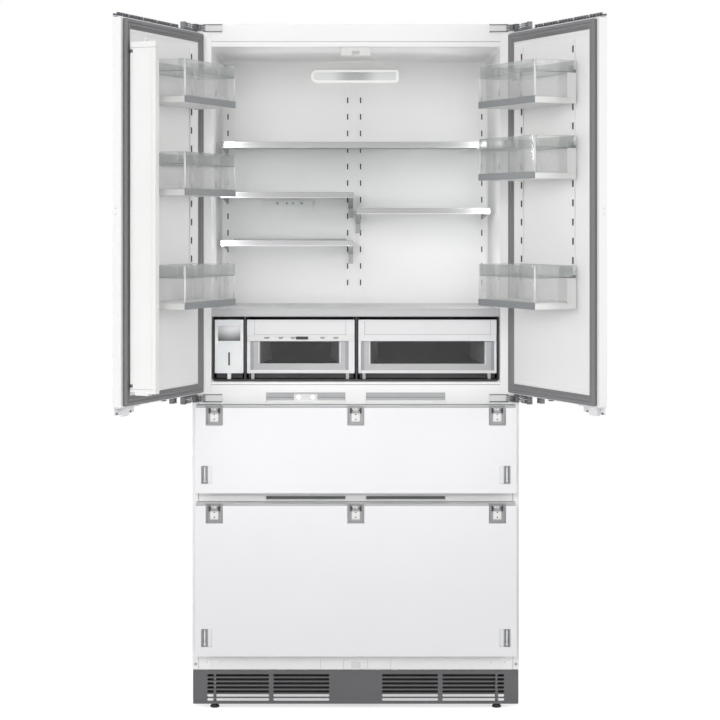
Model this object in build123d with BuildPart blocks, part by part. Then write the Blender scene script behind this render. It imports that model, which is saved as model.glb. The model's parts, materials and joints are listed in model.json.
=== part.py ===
"""Built-in french door refrigerator over two freezer drawers, in millimetres.

+X is to the right of someone facing the doors, +Y runs into the cabinet and +Z is up. The origin
is on the floor, under the middle of the cabinet's front plane. The doors stand open.
"""

import os
from math import cos, radians, sin

from build123d import *

os.makedirs("parts", exist_ok=True)

# Cabinet: the box that slides into the kitchen niche.
cabinet_width = 909
cabinet_height = 1903
cabinet_depth = 560
side_wall = 52.5  # insulated wall from the outer face to the compartment
shell_sheet = 1.2
liner_sheet = 2.0
frame_depth = 20  # the painted frame round the front openings
seam = 0.3  # gap between pieces that are assembled side by side
back_wall = 128  # insulated wall behind the fridge and the upper freezer compartment

# Levels, from the floor up.
base_height = 108
bottom_rail_height = 80
lower_opening_height = 350
drawer_rail_height = 100
upper_opening_height = 172
middle_rail_height = 97
top_rail_height = 63

# Doors.
left_open_angle = 113
right_open_angle = 115.5
door_gap = 30  # between the two door bodies when shut, behind the kitchen fronts
door_thickness = 25
door_foot_drop = 29  # doors' lower edge below the fridge floor
door_head_gap = 27  # doors' upper edge below the cabinet's top
gasket_thickness = 11.5
gasket_width = 25
gasket_clearance = 1.0  # from the shut gasket to the frame
gasket_free_inset = 9.5  # door's edge to gasket at the centre of the cabinet
gasket_hinge_inset = 3
gasket_end_inset = 3.5
pivot_inset = 8.5  # hinge pin from the door's outer edge
pivot_reach = 28  # hinge pin in front of the cabinet
liner_rise = 6  # inner liner above the door's core
ladder_rise = 4
ladder_width = 12
ladder_inset = 16

# Door bins.
bin_depth = 126
bin_height = 112
bin_wall = 3
bin_floor = 8
bin_free_inset = 81.5  # from the gasket's free edge
bin_hinge_inset = 30  # from the liner's hinge edge
# Each bin's foot as a share of the door's height.
left_bin_shares = {"left_lower_bin": 0.2495, "left_middle_bin": 0.5441, "left_top_bin": 0.7836}
right_bin_shares = {"right_lower_bin": 0.2495, "right_middle_bin": 0.5872, "right_top_bin": 0.7826}

# Folding bar that closes the gap between the doors.
bar_width = 74
bar_thickness = 20
bar_heel = 4  # how far the bar passes its hinge pin
bar_front = 7.5  # hinge pin to the bar's front face
bar_pin_from_centre = 40
bar_pin_depth = 8  # behind the front plane when shut
bar_floor_gap = 3
bar_ceiling_gap = 28
bar_notch_lift = 20  # from the bar's ends to its hinge lugs
lug_height = 8
lug_foot = 14  # depth of the lugs' foot on the door's liner
lug_radius = 8
guide_peg_radius = 4
guide_peg_height = 12
hinge_pin_radius = 2.5
running_clearance = 0.05

# Hinges.
hinge_plate = 6
hinge_lift = 1.5  # between neighbouring hinge plates
arm_side_gap = 24.5
arm_length = 60
arm_height = 22
arm_proud = 3
leaf_length = 70
knuckle_radius = 8
door_pin_radius = 4

# Drawers.
drawer_side_gap = 10
upper_panel_drop = 35  # panel's foot below its opening
upper_panel_rise = 34.5  # panel's top above its opening
lower_panel_drop = 35.5
lower_panel_rise = 36
drawer_gasket_width = 24
drawer_gasket_inset = 10
drawer_wall = 3
slide_thickness = 12.7
slide_height = 36
slide_front = 22
slide_back_gap = 20
slide_clearance = 0.3
upper_bin_back_gap = 20
upper_bin_head_gap = 10
lower_bin_back_gap = 22
lower_bin_head_gap = 28
bin_lift = 12  # drawer bin above its compartment's floor
hanger_width = 47
hanger_height = 54
hanger_side_inset = 53.5  # from the panel's side to the outer hangers' middle
clip_width = 30
clip_height = 50
clip_inset = 32.5  # from the panel's side to the clip's middle
clip_lift = 51  # from the panel's foot to the clip's middle
pocket_depth = 12
pocket_gap = 2

# Shelves.
shelf_set_back = 146
shelf_side_gap = 17
left_shelves_end = -6
right_shelf_end = 3
glass_thickness = 4
shelf_trim_height = 16
shelf_trim_depth = 12
bracket_thickness = 4
bracket_height = 34
# Each shelf's foot as a share of the fridge compartment's height.
top_shelf_share = 0.7063
upper_left_shelf_share = 0.552
right_shelf_share = 0.5027
lower_left_shelf_share = 0.4041
centre_ladder_pitch = 39
ladder_slot_pitch = 50
ladder_slot_height = 18

# Crisper zone.
crisper_zone_height = 180
cover_thickness = 23
crisper_front_depth = 26  # behind the front plane, clear of the shut folding bar
crisper_lip = 4  # crispers' front before the housing's
crisper_back_gap = 22
crisper_floor = 3
crisper_wall = 3
crisper_lift = 22  # crisper's foot above the fridge floor
crisper_head_gap = 8
crisper_side_gap = 8
tank_width = 80
tank_gap = 10  # between the tank and the left crisper
left_crisper_right = -3
right_crisper_left = 7.5
crisper_run_out = 35  # housing's depth left behind a crisper
tank_run_out = 130
runner_gap = 0.3
humidity_travel = 60

# Machine compartment behind the plinth.
machine_depth = 175
machine_height = 245
base_sheet = 3
ground_clearance = 32
hump_wall = 27
duct_depth = 18  # air duct behind the lower freezer compartment
bay_wall = 60  # insulated wall behind the evaporator
foot_radius = 13
foot_height = 12
foot_side_inset = 61.5
foot_depth = 15
stem_radius = 5
roller_radius = 20
roller_width = 18
roller_back_inset = 60
roller_side_inset = 34.5
roller_axle_radius = 4
grille_thickness = 3
grille_bottom = 12
grille_top_gap = 3
grille_side_gap = 2
slot_height = 7
slot_rows = 7

# Places worked out from the sizes above.
half_width = cabinet_width / 2
opening_half = half_width - side_wall
machine_front = cabinet_depth - machine_depth
fridge_depth = cabinet_depth - back_wall
upper_freezer_depth = cabinet_depth - back_wall
lower_freezer_depth = machine_front - hump_wall - duct_depth
lower_floor = base_height + bottom_rail_height
lower_ceiling = lower_floor + lower_opening_height
upper_floor = lower_ceiling + drawer_rail_height
upper_ceiling = upper_floor + upper_opening_height
fridge_floor = upper_ceiling + middle_rail_height
fridge_ceiling = cabinet_height - top_rail_height
fridge_height = fridge_ceiling - fridge_floor
door_bottom = fridge_floor - door_foot_drop
door_top = cabinet_height - door_head_gap
door_height = door_top - door_bottom
bar_bottom = fridge_floor + bar_floor_gap
bar_top = fridge_ceiling - bar_ceiling_gap
cover_level = fridge_floor + crisper_zone_height
top_shelf_level = fridge_floor + top_shelf_share * fridge_height
upper_left_shelf_level = fridge_floor + upper_left_shelf_share * fridge_height
right_shelf_level = fridge_floor + right_shelf_share * fridge_height
lower_left_shelf_level = fridge_floor + lower_left_shelf_share * fridge_height
shelf_half_width = opening_half - shelf_side_gap
foot_spacing = cabinet_width - 2 * foot_side_inset
roller_spacing = cabinet_width - 2 * roller_side_inset
roller_depth = cabinet_depth - roller_back_inset
door_width = half_width - door_gap / 2
door_front = -gasket_clearance - gasket_thickness - door_thickness
door_back = door_front + door_thickness
foam_half = opening_half + liner_sheet
foam_front = frame_depth + seam
foam_back = cabinet_depth - shell_sheet - seam


def slab(x_span, y_span, z_span, mode=Mode.ADD):
    """Add or cut a block between two limits on each axis of the part being built."""
    middle = (sum(x_span) / 2, sum(y_span) / 2, sum(z_span) / 2)
    with Locations(middle):
        Box(x_span[1] - x_span[0], y_span[1] - y_span[0], z_span[1] - z_span[0], mode=mode)


def both_sides(x_span, y_span, z_span, mode=Mode.ADD):
    """The same block on the right and, mirrored, on the left."""
    slab(x_span, y_span, z_span, mode)
    slab((-x_span[1], -x_span[0]), y_span, z_span, mode)


def rod(centre, radius, length, axis, mode=Mode.ADD):
    """A round bar centred on a point, along X, Y or Z."""
    turn = {"x": (0, 90, 0), "y": (90, 0, 0), "z": (0, 0, 0)}[axis]
    with Locations(centre):
        Cylinder(radius, length, rotation=turn, mode=mode)


def save(part, name):
    """Label a finished piece and write its file."""
    part.label = name
    export_step(part, f"parts/{name}.step")


# Cabinet shell: folded sheet steel, open at the front and underneath.
with BuildPart() as cabinet_shell:
    slab((-half_width, half_width), (frame_depth, cabinet_depth), (base_height, cabinet_height))
    slab(
        (-half_width + shell_sheet, half_width - shell_sheet),
        (frame_depth, cabinet_depth - shell_sheet),
        (base_height, cabinet_height - shell_sheet),
        Mode.SUBTRACT,
    )
    slab(
        (-half_width + side_wall, half_width - side_wall),
        (cabinet_depth - 2 * shell_sheet, cabinet_depth),
        (base_height, machine_height),
        Mode.SUBTRACT,
    )
save(cabinet_shell.part, "cabinet_shell")

# Foam between the shell and the liners, one slab for each wall.
foam_outer = half_width - shell_sheet - seam
foam_top = cabinet_height - shell_sheet - seam
foam_edge = foam_half + seam
bay_floor = machine_height + hump_wall
bay_back = cabinet_depth - bay_wall
with BuildPart() as foam_insulation:
    both_sides((foam_edge, foam_outer), (foam_front, foam_back), (machine_height, foam_top))
    both_sides(
        (foam_edge, foam_outer), (foam_front, machine_front), (base_height, machine_height - seam)
    )
    inner = (-foam_edge + seam, foam_edge - seam)
    slab(inner, (foam_front, foam_back), (fridge_ceiling + liner_sheet + seam, foam_top))
    slab(
        inner,
        (foam_front, foam_back),
        (upper_ceiling + liner_sheet + seam, fridge_floor - liner_sheet - seam),
    )
    slab(
        inner,
        (foam_front, foam_back),
        (lower_ceiling + liner_sheet + seam, upper_floor - liner_sheet - seam),
    )
    slab(
        inner,
        (foam_front, machine_front - hump_wall - seam),
        (base_height, lower_floor - liner_sheet - seam),
    )
    slab(
        inner,
        (fridge_depth + liner_sheet + seam, foam_back),
        (fridge_floor - liner_sheet, fridge_ceiling + liner_sheet),
    )
    slab(
        inner,
        (upper_freezer_depth + liner_sheet + seam, foam_back),
        (upper_floor - liner_sheet, upper_ceiling + liner_sheet),
    )
    slab(inner, (bay_back, foam_back), (bay_floor + seam, lower_ceiling + liner_sheet))
    slab(inner, (machine_front - hump_wall, foam_back), (machine_height, bay_floor))
    slab(
        inner,
        (machine_front - hump_wall, machine_front),
        (base_height, machine_height - seam),
    )
save(foam_insulation.part, "foam_insulation")


def liner_box(depth, floor, ceiling):
    """A thin moulded box, open at the front."""
    slab(
        (-foam_half, foam_half),
        (frame_depth, depth + liner_sheet),
        (floor - liner_sheet, ceiling + liner_sheet),
    )
    slab(
        (-opening_half, opening_half),
        (frame_depth, depth),
        (floor, ceiling),
        Mode.SUBTRACT,
    )


with BuildPart() as fridge_liner:
    liner_box(fridge_depth, fridge_floor, fridge_ceiling)
save(fridge_liner.part, "fridge_liner")

# Freezer liners: the upper and the lower compartment, with cold-air slots in the lower back.
with BuildPart() as freezer_liner:
    liner_box(upper_freezer_depth, upper_floor, upper_ceiling)
    liner_box(lower_freezer_depth, lower_floor, lower_ceiling)
    with Locations((0, lower_freezer_depth, lower_ceiling - 60)):
        with GridLocations(130, 24, 5, 1):
            Box(100, 4 * liner_sheet, 14, mode=Mode.SUBTRACT)
save(freezer_liner.part, "freezer_liner")

# Front frame: two stiles and four rails of painted steel, with a niche screw hole in each stile.
recess_width = 222
recess_middle = 139
recess_depth = 9
middle_recess_bottom = fridge_floor - 56
middle_recess_height = 27
drawer_recess_bottom = lower_ceiling + 40
drawer_recess_height = 12
niche_hole_radius = 2.5
niche_hole_half = half_width - 9
niche_hole_level = base_height + 15
with BuildPart() as front_frame:
    both_sides((opening_half, half_width), (0, frame_depth), (base_height, cabinet_height))
    for side in (-1, 1):
        hole_middle = (side * niche_hole_half, 0, niche_hole_level)
        rod(hole_middle, niche_hole_radius, 3 * frame_depth, "y", Mode.SUBTRACT)
    rail_span = (-opening_half + seam, opening_half - seam)
    slab(rail_span, (0, frame_depth), (fridge_ceiling, cabinet_height))
    slab(rail_span, (0, frame_depth), (upper_ceiling, fridge_floor))
    slab(rail_span, (0, frame_depth), (lower_ceiling, upper_floor))
    slab(rail_span, (0, frame_depth), (base_height, lower_floor))
    for middle in (-recess_middle, recess_middle):
        recess_span = (middle - recess_width / 2, middle + recess_width / 2)
        slab(
            recess_span,
            (0, recess_depth),
            (middle_recess_bottom, middle_recess_bottom + middle_recess_height),
            Mode.SUBTRACT,
        )
        slab(
            recess_span,
            (0, recess_depth),
            (drawer_recess_bottom, drawer_recess_bottom + drawer_recess_height),
            Mode.SUBTRACT,
        )
save(front_frame.part, "front_frame")

# Lamp module in the left recess of the middle rail.
lamp_radius = 6.5
lamp_pitch = 39
lamp_module = (66, 4, 20)
with BuildPart() as rail_lamps:
    module_middle = (
        -recess_middle - 0.5,
        recess_depth - lamp_module[1] / 2,
        middle_recess_bottom + middle_recess_height / 2,
    )
    with Locations(module_middle):
        Box(*lamp_module)
        with GridLocations(lamp_pitch, 10, 2, 1):
            with Locations((0, -1, 0)):
                Cylinder(lamp_radius, 6, rotation=(90, 0, 0))
save(rail_lamps.part, "rail_lamps")

# Base frame: plates of sheet steel. A tray between two cheeks, a front beam, a cross plate, two
# roller forks with their axles, and the rear cover.
cheek_sheet = 3.5
beam_height = 10.7
beam_depth = 2 * (foot_depth - grille_thickness - seam)
frame_top = base_height - seam
beam_bottom = frame_top - beam_height
fork_gap = 2
fork_sheet = 4
fork_length = 40
fork_foot = 12
cross_sheet = 4
cross_drop = 40
cover_inset = 0.5
vent_rows = 6
inlet_middle = (84.5 - half_width, 100)
inlet_body = (30, 22)
inlet_body_depth = 20
valve_middle = (half_width - 89.5, 80)
valve_radius = 9.5
with BuildPart() as base_frame:
    cheek = (half_width - shell_sheet - seam - cheek_sheet, half_width - shell_sheet - seam)
    beam = (grille_thickness + seam, grille_thickness + seam + beam_depth)
    inner_half = cheek[0] - seam
    machine_back = cabinet_depth - shell_sheet - seam
    half_fork = roller_width / 2 + fork_gap
    fork_middle = roller_spacing / 2
    fork_front = roller_depth - roller_radius - 6
    tray_levels = (ground_clearance, ground_clearance + base_sheet)
    rear_half = fork_middle - half_fork - fork_sheet - seam
    slab((-inner_half, inner_half), (beam[1] + seam, fork_front), tray_levels)
    slab((-rear_half, rear_half), (fork_front + seam, machine_back), tray_levels)
    both_sides(
        (fork_middle + half_fork + fork_sheet + seam, inner_half),
        (fork_front + seam, machine_back),
        tray_levels,
    )
    slab((-inner_half, inner_half), beam, (beam_bottom, frame_top))
    both_sides(cheek, (beam[0], machine_front), (ground_clearance, frame_top))
    both_sides(
        cheek,
        (machine_front + seam, machine_back),
        (ground_clearance, machine_height - seam),
    )
    slab(
        (-inner_half, inner_half),
        (machine_front - cross_sheet / 2, machine_front + cross_sheet / 2),
        (tray_levels[1] + seam, frame_top - cross_drop),
    )
    fork_span = (roller_depth - fork_length / 2, roller_depth + fork_length / 2)
    fork_levels = (fork_foot, ground_clearance + 3 * base_sheet)
    both_sides((fork_middle - half_fork - fork_sheet, fork_middle - half_fork), fork_span, fork_levels)
    both_sides((fork_middle + half_fork, fork_middle + half_fork + fork_sheet), fork_span, fork_levels)
    for side in (-1, 1):
        rod(
            (side * fork_middle, roller_depth, roller_radius),
            roller_axle_radius,
            2 * (half_fork - seam),
            "x",
        )
        rod(
            (side * foot_spacing / 2, foot_depth, (beam_bottom + frame_top) / 2),
            stem_radius + running_clearance,
            2 * (frame_top - beam_bottom),
            "z",
            Mode.SUBTRACT,
        )
    cover_half = opening_half - cover_inset
    slab(
        (-cover_half, cover_half),
        (cabinet_depth - shell_sheet, cabinet_depth),
        (tray_levels[1] + cover_inset, machine_height - cover_inset),
    )
    with Locations((0, cabinet_depth, machine_height - 70)):
        with GridLocations(90, 1, 5, 1):
            for row in range(vent_rows):
                with Locations((0, 0, row * 9)):
                    Box(70, 4 * shell_sheet, 4, mode=Mode.SUBTRACT)
    with Locations((inlet_middle[0], cabinet_depth, inlet_middle[1])):
        Box(inlet_body[0] + 1, 4 * shell_sheet, inlet_body[1] + 1, mode=Mode.SUBTRACT)
    rod((valve_middle[0], cabinet_depth, valve_middle[1]), valve_radius + 1, 8, "y", Mode.SUBTRACT)
save(base_frame.part, "base_frame")

# Plinth grille: seven rows of air slots in four groups, with a plain middle.
grille_top = base_height - grille_top_gap
grille_width = cabinet_width - 2 * grille_side_gap
slot_top_row = grille_top - 14
slot_pitch = (slot_top_row - grille_bottom - 11.8) / (slot_rows - 1)
outer_slot_middle = grille_width / 2 - 125.5
outer_slot_length = 172
inner_slot_middle = outer_slot_middle - 175.8
inner_slot_length = 156
with BuildPart() as kick_grille:
    with BuildSketch(Plane.XZ.offset(-grille_thickness)):
        with Locations((0, (grille_bottom + grille_top) / 2)):
            RectangleRounded(grille_width, grille_top - grille_bottom, 3)
        for row in range(slot_rows):
            level = slot_top_row - row * slot_pitch
            for side in (-1, 1):
                with Locations((side * inner_slot_middle, level)):
                    SlotOverall(inner_slot_length, slot_height, mode=Mode.SUBTRACT)
                with Locations((side * outer_slot_middle, level)):
                    SlotOverall(outer_slot_length, slot_height, mode=Mode.SUBTRACT)
    extrude(amount=grille_thickness)
save(kick_grille.part, "kick_grille")

# Levelling feet: a black pad on a threaded stem.
stem_top = frame_top - 1.7
with BuildPart() as front_feet:
    with BuildSketch(Plane.XY):
        with GridLocations(foot_spacing, 1, 2, 1):
            with Locations((0, foot_depth)):
                Circle(foot_radius)
    extrude(amount=foot_height)
    chamfer(front_feet.edges().filter_by(GeomType.CIRCLE), length=1.5)
    with BuildSketch(Plane.XY.offset(foot_height)):
        with GridLocations(foot_spacing, 1, 2, 1):
            with Locations((0, foot_depth)):
                Circle(stem_radius)
    extrude(amount=stem_top - foot_height)
save(front_feet.part, "front_feet")

# Rear rollers: a grooved nylon wheel on each axle.
for side, name in ((-1, "left_roller"), (1, "right_roller")):
    with BuildPart() as roller:
        wheel_middle = (side * roller_spacing / 2, roller_depth, roller_radius)
        rod(wheel_middle, roller_radius, roller_width, "x")
        fillet(roller.edges().filter_by(GeomType.CIRCLE), radius=2)
        rod(wheel_middle, roller_axle_radius + running_clearance, 2 * roller_width, "x", Mode.SUBTRACT)
        for face in (-1, 1):
            groove_middle = (wheel_middle[0] + face * roller_width / 2, roller_depth, roller_radius)
            with BuildSketch(Plane(origin=groove_middle, x_dir=(0, 1, 0), z_dir=(face, 0, 0))):
                Circle(roller_radius - 5)
                Circle(roller_axle_radius + 4, mode=Mode.SUBTRACT)
            extrude(amount=-3, mode=Mode.SUBTRACT)
    save(roller.part, name)

# Compressor: a domed steel pot on four rubber feet, with a terminal box.
tray_top = ground_clearance + base_sheet + seam
machine_middle = (machine_front + cabinet_depth) / 2
compressor_middle = half_width - 214.5
compressor_radius = 68
compressor_height = 165
pot_lift = 12
pot_dome = 42
plate_half = (72, 60)
plate_height = 19
pad_pitch = (120, 96)
pad_radius = 9
pad_height = 10
terminal_half = 28
terminal_reach = 22
terminal_levels = (60, 120)
with BuildPart() as compressor:
    pot_middle = (compressor_middle, machine_middle, tray_top + pot_lift + compressor_height / 2)
    rod(pot_middle, compressor_radius, compressor_height, "z")
    rims = compressor.edges().filter_by(GeomType.CIRCLE).sort_by(Axis.Z)
    fillet(rims[-1], radius=pot_dome)
    fillet(rims[0], radius=pot_lift)
    plate_foot = tray_top + pad_height - 1
    slab(
        (compressor_middle - plate_half[0], compressor_middle + plate_half[0]),
        (machine_middle - plate_half[1], machine_middle + plate_half[1]),
        (plate_foot, plate_foot + plate_height),
    )
    with BuildSketch(Plane.XY.offset(tray_top)):
        with Locations((compressor_middle, machine_middle)):
            with GridLocations(pad_pitch[0], pad_pitch[1], 2, 2):
                Circle(pad_radius)
    extrude(amount=pad_height)
    slab(
        (compressor_middle - compressor_radius - terminal_reach, compressor_middle - compressor_radius + 6),
        (machine_middle - terminal_half, machine_middle + terminal_half),
        (tray_top + terminal_levels[0], tray_top + terminal_levels[1]),
    )
save(compressor.part, "compressor")

# Condenser: a finned block of tube in two end plates.
condenser_span = (124.5 - half_width, 384.5 - half_width)
condenser_depth = 110
condenser_height = 150
fin_pitch = 6
fin_gap = 4.5
with BuildPart() as condenser:
    condenser_y = (machine_middle - condenser_depth / 2, machine_middle + condenser_depth / 2)
    slab(condenser_span, condenser_y, (tray_top, tray_top + condenser_height))
    fin_count = int((condenser_span[1] - condenser_span[0] - 20) / fin_pitch)
    with Locations((sum(condenser_span) / 2, machine_middle, tray_top + condenser_height)):
        with GridLocations(fin_pitch, 1, fin_count, 1):
            Box(fin_gap, 2 * condenser_depth, condenser_height / 2, mode=Mode.SUBTRACT)
save(condenser.part, "condenser")

# Evaporator: a finned coil in the bay behind the lower freezer compartment.
evaporator_half = opening_half - 102
evaporator_depth = 60
evaporator_front = lower_freezer_depth + 25
fan_bay_height = 90.7
bay_seat = bay_floor + seam
evaporator_height = lower_ceiling - bay_seat - fan_bay_height
with BuildPart() as evaporator:
    evaporator_y = (evaporator_front, evaporator_front + evaporator_depth)
    slab((-evaporator_half, evaporator_half), evaporator_y, (bay_seat, bay_seat + evaporator_height))
    fin_count = int((2 * evaporator_half - 30) / (2 * fin_pitch))
    with Locations((0, evaporator_front + evaporator_depth / 2, bay_seat + evaporator_height)):
        with GridLocations(2 * fin_pitch, 1, fin_count, 1):
            Box(2 * fin_gap, 2 * evaporator_depth, evaporator_height, mode=Mode.SUBTRACT)
save(evaporator.part, "evaporator")

# Fan motors: one on the tray for the condenser, one on the bay's back for the evaporator.
shaft_radius = 2.5
condenser_fan_x = condenser_span[1] + 110
condenser_fan_level = 120
condenser_fan_radius = 75
evaporator_fan_level = (bay_seat + evaporator_height + lower_ceiling) / 2
evaporator_fan_radius = 36
motor_length = 44
hub_length = 22
hub_gap = 3
condenser_motor_front = condenser_fan_x - hub_length / 2 - hub_gap
evaporator_motor_front = bay_back - seam - motor_length
with BuildPart() as fan_motors:
    rod(
        (condenser_motor_front - motor_length / 2, machine_middle, condenser_fan_level),
        26,
        motor_length,
        "x",
    )
    shaft_length = hub_gap + hub_length - 4
    rod(
        (condenser_motor_front + shaft_length / 2, machine_middle, condenser_fan_level),
        shaft_radius,
        shaft_length,
        "x",
    )
    slab(
        (condenser_motor_front - 30, condenser_motor_front - 14),
        (machine_middle - 14, machine_middle + 14),
        (tray_top, condenser_fan_level),
    )
    rod(
        (0, evaporator_motor_front + motor_length / 2, evaporator_fan_level),
        22,
        motor_length,
        "y",
    )
    rod(
        (0, evaporator_motor_front - shaft_length / 2, evaporator_fan_level),
        shaft_radius,
        shaft_length,
        "y",
    )
save(fan_motors.part, "fan_motors")


def fan(plane, radius, blades):
    """Hub with a blind bore on the local +Z side facing the motor, and tilted blades."""
    with BuildPart(plane) as rotor:
        Cylinder(radius * 0.28, hub_length)
        blade_length = radius * 0.78
        with PolarLocations(radius * 0.22 + blade_length / 2, blades):
            Box(blade_length, radius * 0.5, 2.5, rotation=(28, 0, 0))
        with Locations((0, 0, hub_gap)):
            Cylinder(shaft_radius + running_clearance, hub_length, mode=Mode.SUBTRACT)
    return rotor.part


condenser_fan_plane = Plane(
    origin=(condenser_fan_x, machine_middle, condenser_fan_level), x_dir=(0, 1, 0), z_dir=(-1, 0, 0)
)
save(fan(condenser_fan_plane, condenser_fan_radius, 5), "condenser_fan")
evaporator_fan_plane = Plane(
    origin=(0, evaporator_motor_front - hub_gap - hub_length / 2, evaporator_fan_level),
    x_dir=(1, 0, 0),
    z_dir=(0, 1, 0),
)
save(fan(evaporator_fan_plane, evaporator_fan_radius, 7), "evaporator_fan")

# Control box: the electronics in a ribbed plastic case.
control_box_width = 55
control_box_height = 110
control_side_gap = 54.5
control_front_gap = 15
control_back_gap = 30
with BuildPart() as control_box:
    slab(
        (control_side_gap - half_width, control_side_gap + control_box_width - half_width),
        (machine_front + control_front_gap, cabinet_depth - control_back_gap),
        (tray_top, tray_top + control_box_height),
    )
    fillet(control_box.edges().filter_by(Axis.Z), radius=5)
save(control_box.part, "control_box")

# Drip tray: a shallow pan that catches the defrost water.
pan_half = 200
pan_front = 60
pan_back = machine_front - 25
pan_height = 22
pan_wall = 2.5
with BuildPart() as drip_tray:
    slab((-pan_half, pan_half), (pan_front, pan_back), (tray_top, tray_top + pan_height))
    slab(
        (-pan_half + pan_wall, pan_half - pan_wall),
        (pan_front + pan_wall, pan_back - pan_wall),
        (tray_top + pan_wall, tray_top + pan_height),
        Mode.SUBTRACT,
    )
save(drip_tray.part, "drip_tray")

# Power inlet: a socket with three pins in the rear cover.
inlet_flange = (50, 2.5, 28)
inlet_rim = 3
socket_depth = 15
pin_half = (1, 2)
with BuildPart() as power_inlet:
    flange_back = cabinet_depth - shell_sheet - seam
    inlet_x, inlet_z = inlet_middle
    slab(
        (inlet_x - inlet_flange[0] / 2, inlet_x + inlet_flange[0] / 2),
        (flange_back - inlet_flange[1], flange_back),
        (inlet_z - inlet_flange[2] / 2, inlet_z + inlet_flange[2] / 2),
    )
    slab(
        (inlet_x - inlet_body[0] / 2, inlet_x + inlet_body[0] / 2),
        (flange_back - inlet_body_depth, cabinet_depth),
        (inlet_z - inlet_body[1] / 2, inlet_z + inlet_body[1] / 2),
    )
    slab(
        (inlet_x - inlet_body[0] / 2 + inlet_rim, inlet_x + inlet_body[0] / 2 - inlet_rim),
        (cabinet_depth - socket_depth, cabinet_depth),
        (inlet_z - inlet_body[1] / 2 + inlet_rim, inlet_z + inlet_body[1] / 2 - inlet_rim),
        Mode.SUBTRACT,
    )
    for pin_x, pin_z in ((-7, -2), (0, 2), (7, -2)):
        slab(
            (inlet_x + pin_x - pin_half[0], inlet_x + pin_x + pin_half[0]),
            (cabinet_depth - socket_depth - 1, cabinet_depth - inlet_rim),
            (inlet_z + pin_z - pin_half[1], inlet_z + pin_z + pin_half[1]),
        )
save(power_inlet.part, "power_inlet")

# Water valve: a solenoid block with a threaded spigot through the rear cover.
with BuildPart() as water_valve:
    valve_x, valve_z = valve_middle
    valve_back = cabinet_depth - shell_sheet - seam
    slab((valve_x - 20, valve_x + 20), (valve_back - 30, valve_back), (valve_z - 18, valve_z + 22))
    slab((valve_x - 14, valve_x + 14), (valve_back - 28, valve_back - 2), (tray_top, valve_z))
    rod((valve_x, cabinet_depth - 8, valve_z), valve_radius, 16, "y")
    rod((valve_x, cabinet_depth - 6, valve_z), 5, 20, "y", Mode.SUBTRACT)
save(water_valve.part, "water_valve")

# Guide block in the ceiling for the folding bar, with a groove open to the front.
guide_width = 83
guide_depth = 38
guide_front = 2
guide_bottom = bar_top + 4
groove_width = 20
groove_length = 26
with BuildPart() as mullion_guide:
    slab(
        (-guide_width / 2, guide_width / 2),
        (guide_front, guide_front + guide_depth),
        (guide_bottom, fridge_ceiling - seam),
    )
    fillet(mullion_guide.edges().filter_by(Axis.Z), radius=4)
    slab(
        (-groove_width / 2, groove_width / 2),
        (guide_front - 1, guide_front + groove_length),
        (guide_bottom - 1, bar_top + guide_peg_height + 4),
        Mode.SUBTRACT,
    )
save(mullion_guide.part, "mullion_guide")

# Light and display panel high on the back wall, with the sensor strip below it.
wall_face = fridge_depth - seam
light_length = 264
light_height = 39
light_level = fridge_ceiling - 48.5
light_depth = 12
strip_length = 157
strip_height = 18
strip_middle = 197.5 - opening_half
strip_level = upper_left_shelf_level - 13
with BuildPart() as light_panel:
    with BuildSketch(Plane.XZ.offset(-wall_face)):
        with Locations((0, light_level)):
            SlotOverall(light_length, light_height)
        with Locations((strip_middle, strip_level)):
            RectangleRounded(strip_length, strip_height, 3)
    extrude(amount=light_depth)
save(light_panel.part, "light_panel")

# Ladders: four slotted steel strips on the back wall that the shelf brackets hook into.
strip_width = 12
strip_depth = 3
ladder_bottom = cover_level + 33
ladder_top = light_level - light_height / 2 - 2
ladder_height = ladder_top - ladder_bottom
centre_ladder_middle = -2.5
left_centre_ladder = centre_ladder_middle - centre_ladder_pitch / 2
right_centre_ladder = centre_ladder_middle + centre_ladder_pitch / 2
side_ladder = shelf_half_width - bracket_thickness / 2
ladder_places = (-side_ladder, left_centre_ladder, right_centre_ladder, side_ladder)
with BuildPart() as shelf_ladders:
    with BuildSketch(Plane.XZ.offset(-wall_face)):
        for place in ladder_places:
            with Locations((place, ladder_bottom + ladder_height / 2)):
                Rectangle(strip_width, ladder_height)
                with GridLocations(1, ladder_slot_pitch, 1, int(ladder_height / ladder_slot_pitch) - 1):
                    Rectangle(4, ladder_slot_height, mode=Mode.SUBTRACT)
    extrude(amount=strip_depth)
save(shelf_ladders.part, "shelf_ladders")

# Shelves: a glass pane, a front and a rear trim, and two cantilever brackets each.
bracket_back = wall_face - strip_depth - seam
glass_back = bracket_back - 12
glass_seat = 11
shelves = {
    "top_shelf_glass": (top_shelf_level, -shelf_half_width, shelf_half_width, -side_ladder, side_ladder),
    "upper_left_shelf_glass": (
        upper_left_shelf_level,
        -shelf_half_width,
        left_shelves_end,
        -side_ladder,
        left_centre_ladder,
    ),
    "lower_left_shelf_glass": (
        lower_left_shelf_level,
        -shelf_half_width,
        left_shelves_end,
        -side_ladder,
        left_centre_ladder,
    ),
    "right_shelf_glass": (
        right_shelf_level,
        right_shelf_end,
        shelf_half_width,
        right_centre_ladder,
        side_ladder,
    ),
}
glass_front = shelf_set_back + shelf_trim_depth + seam
for name, (level, left_end, right_end, left_bracket, right_bracket) in shelves.items():
    glass_levels = (level + glass_seat, level + glass_seat + glass_thickness)
    with BuildPart() as glass:
        slab((left_end, right_end), (glass_front, glass_back), glass_levels)
        chamfer(glass.edges().filter_by(Axis.Z), length=1)
    save(glass.part, name)
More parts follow.
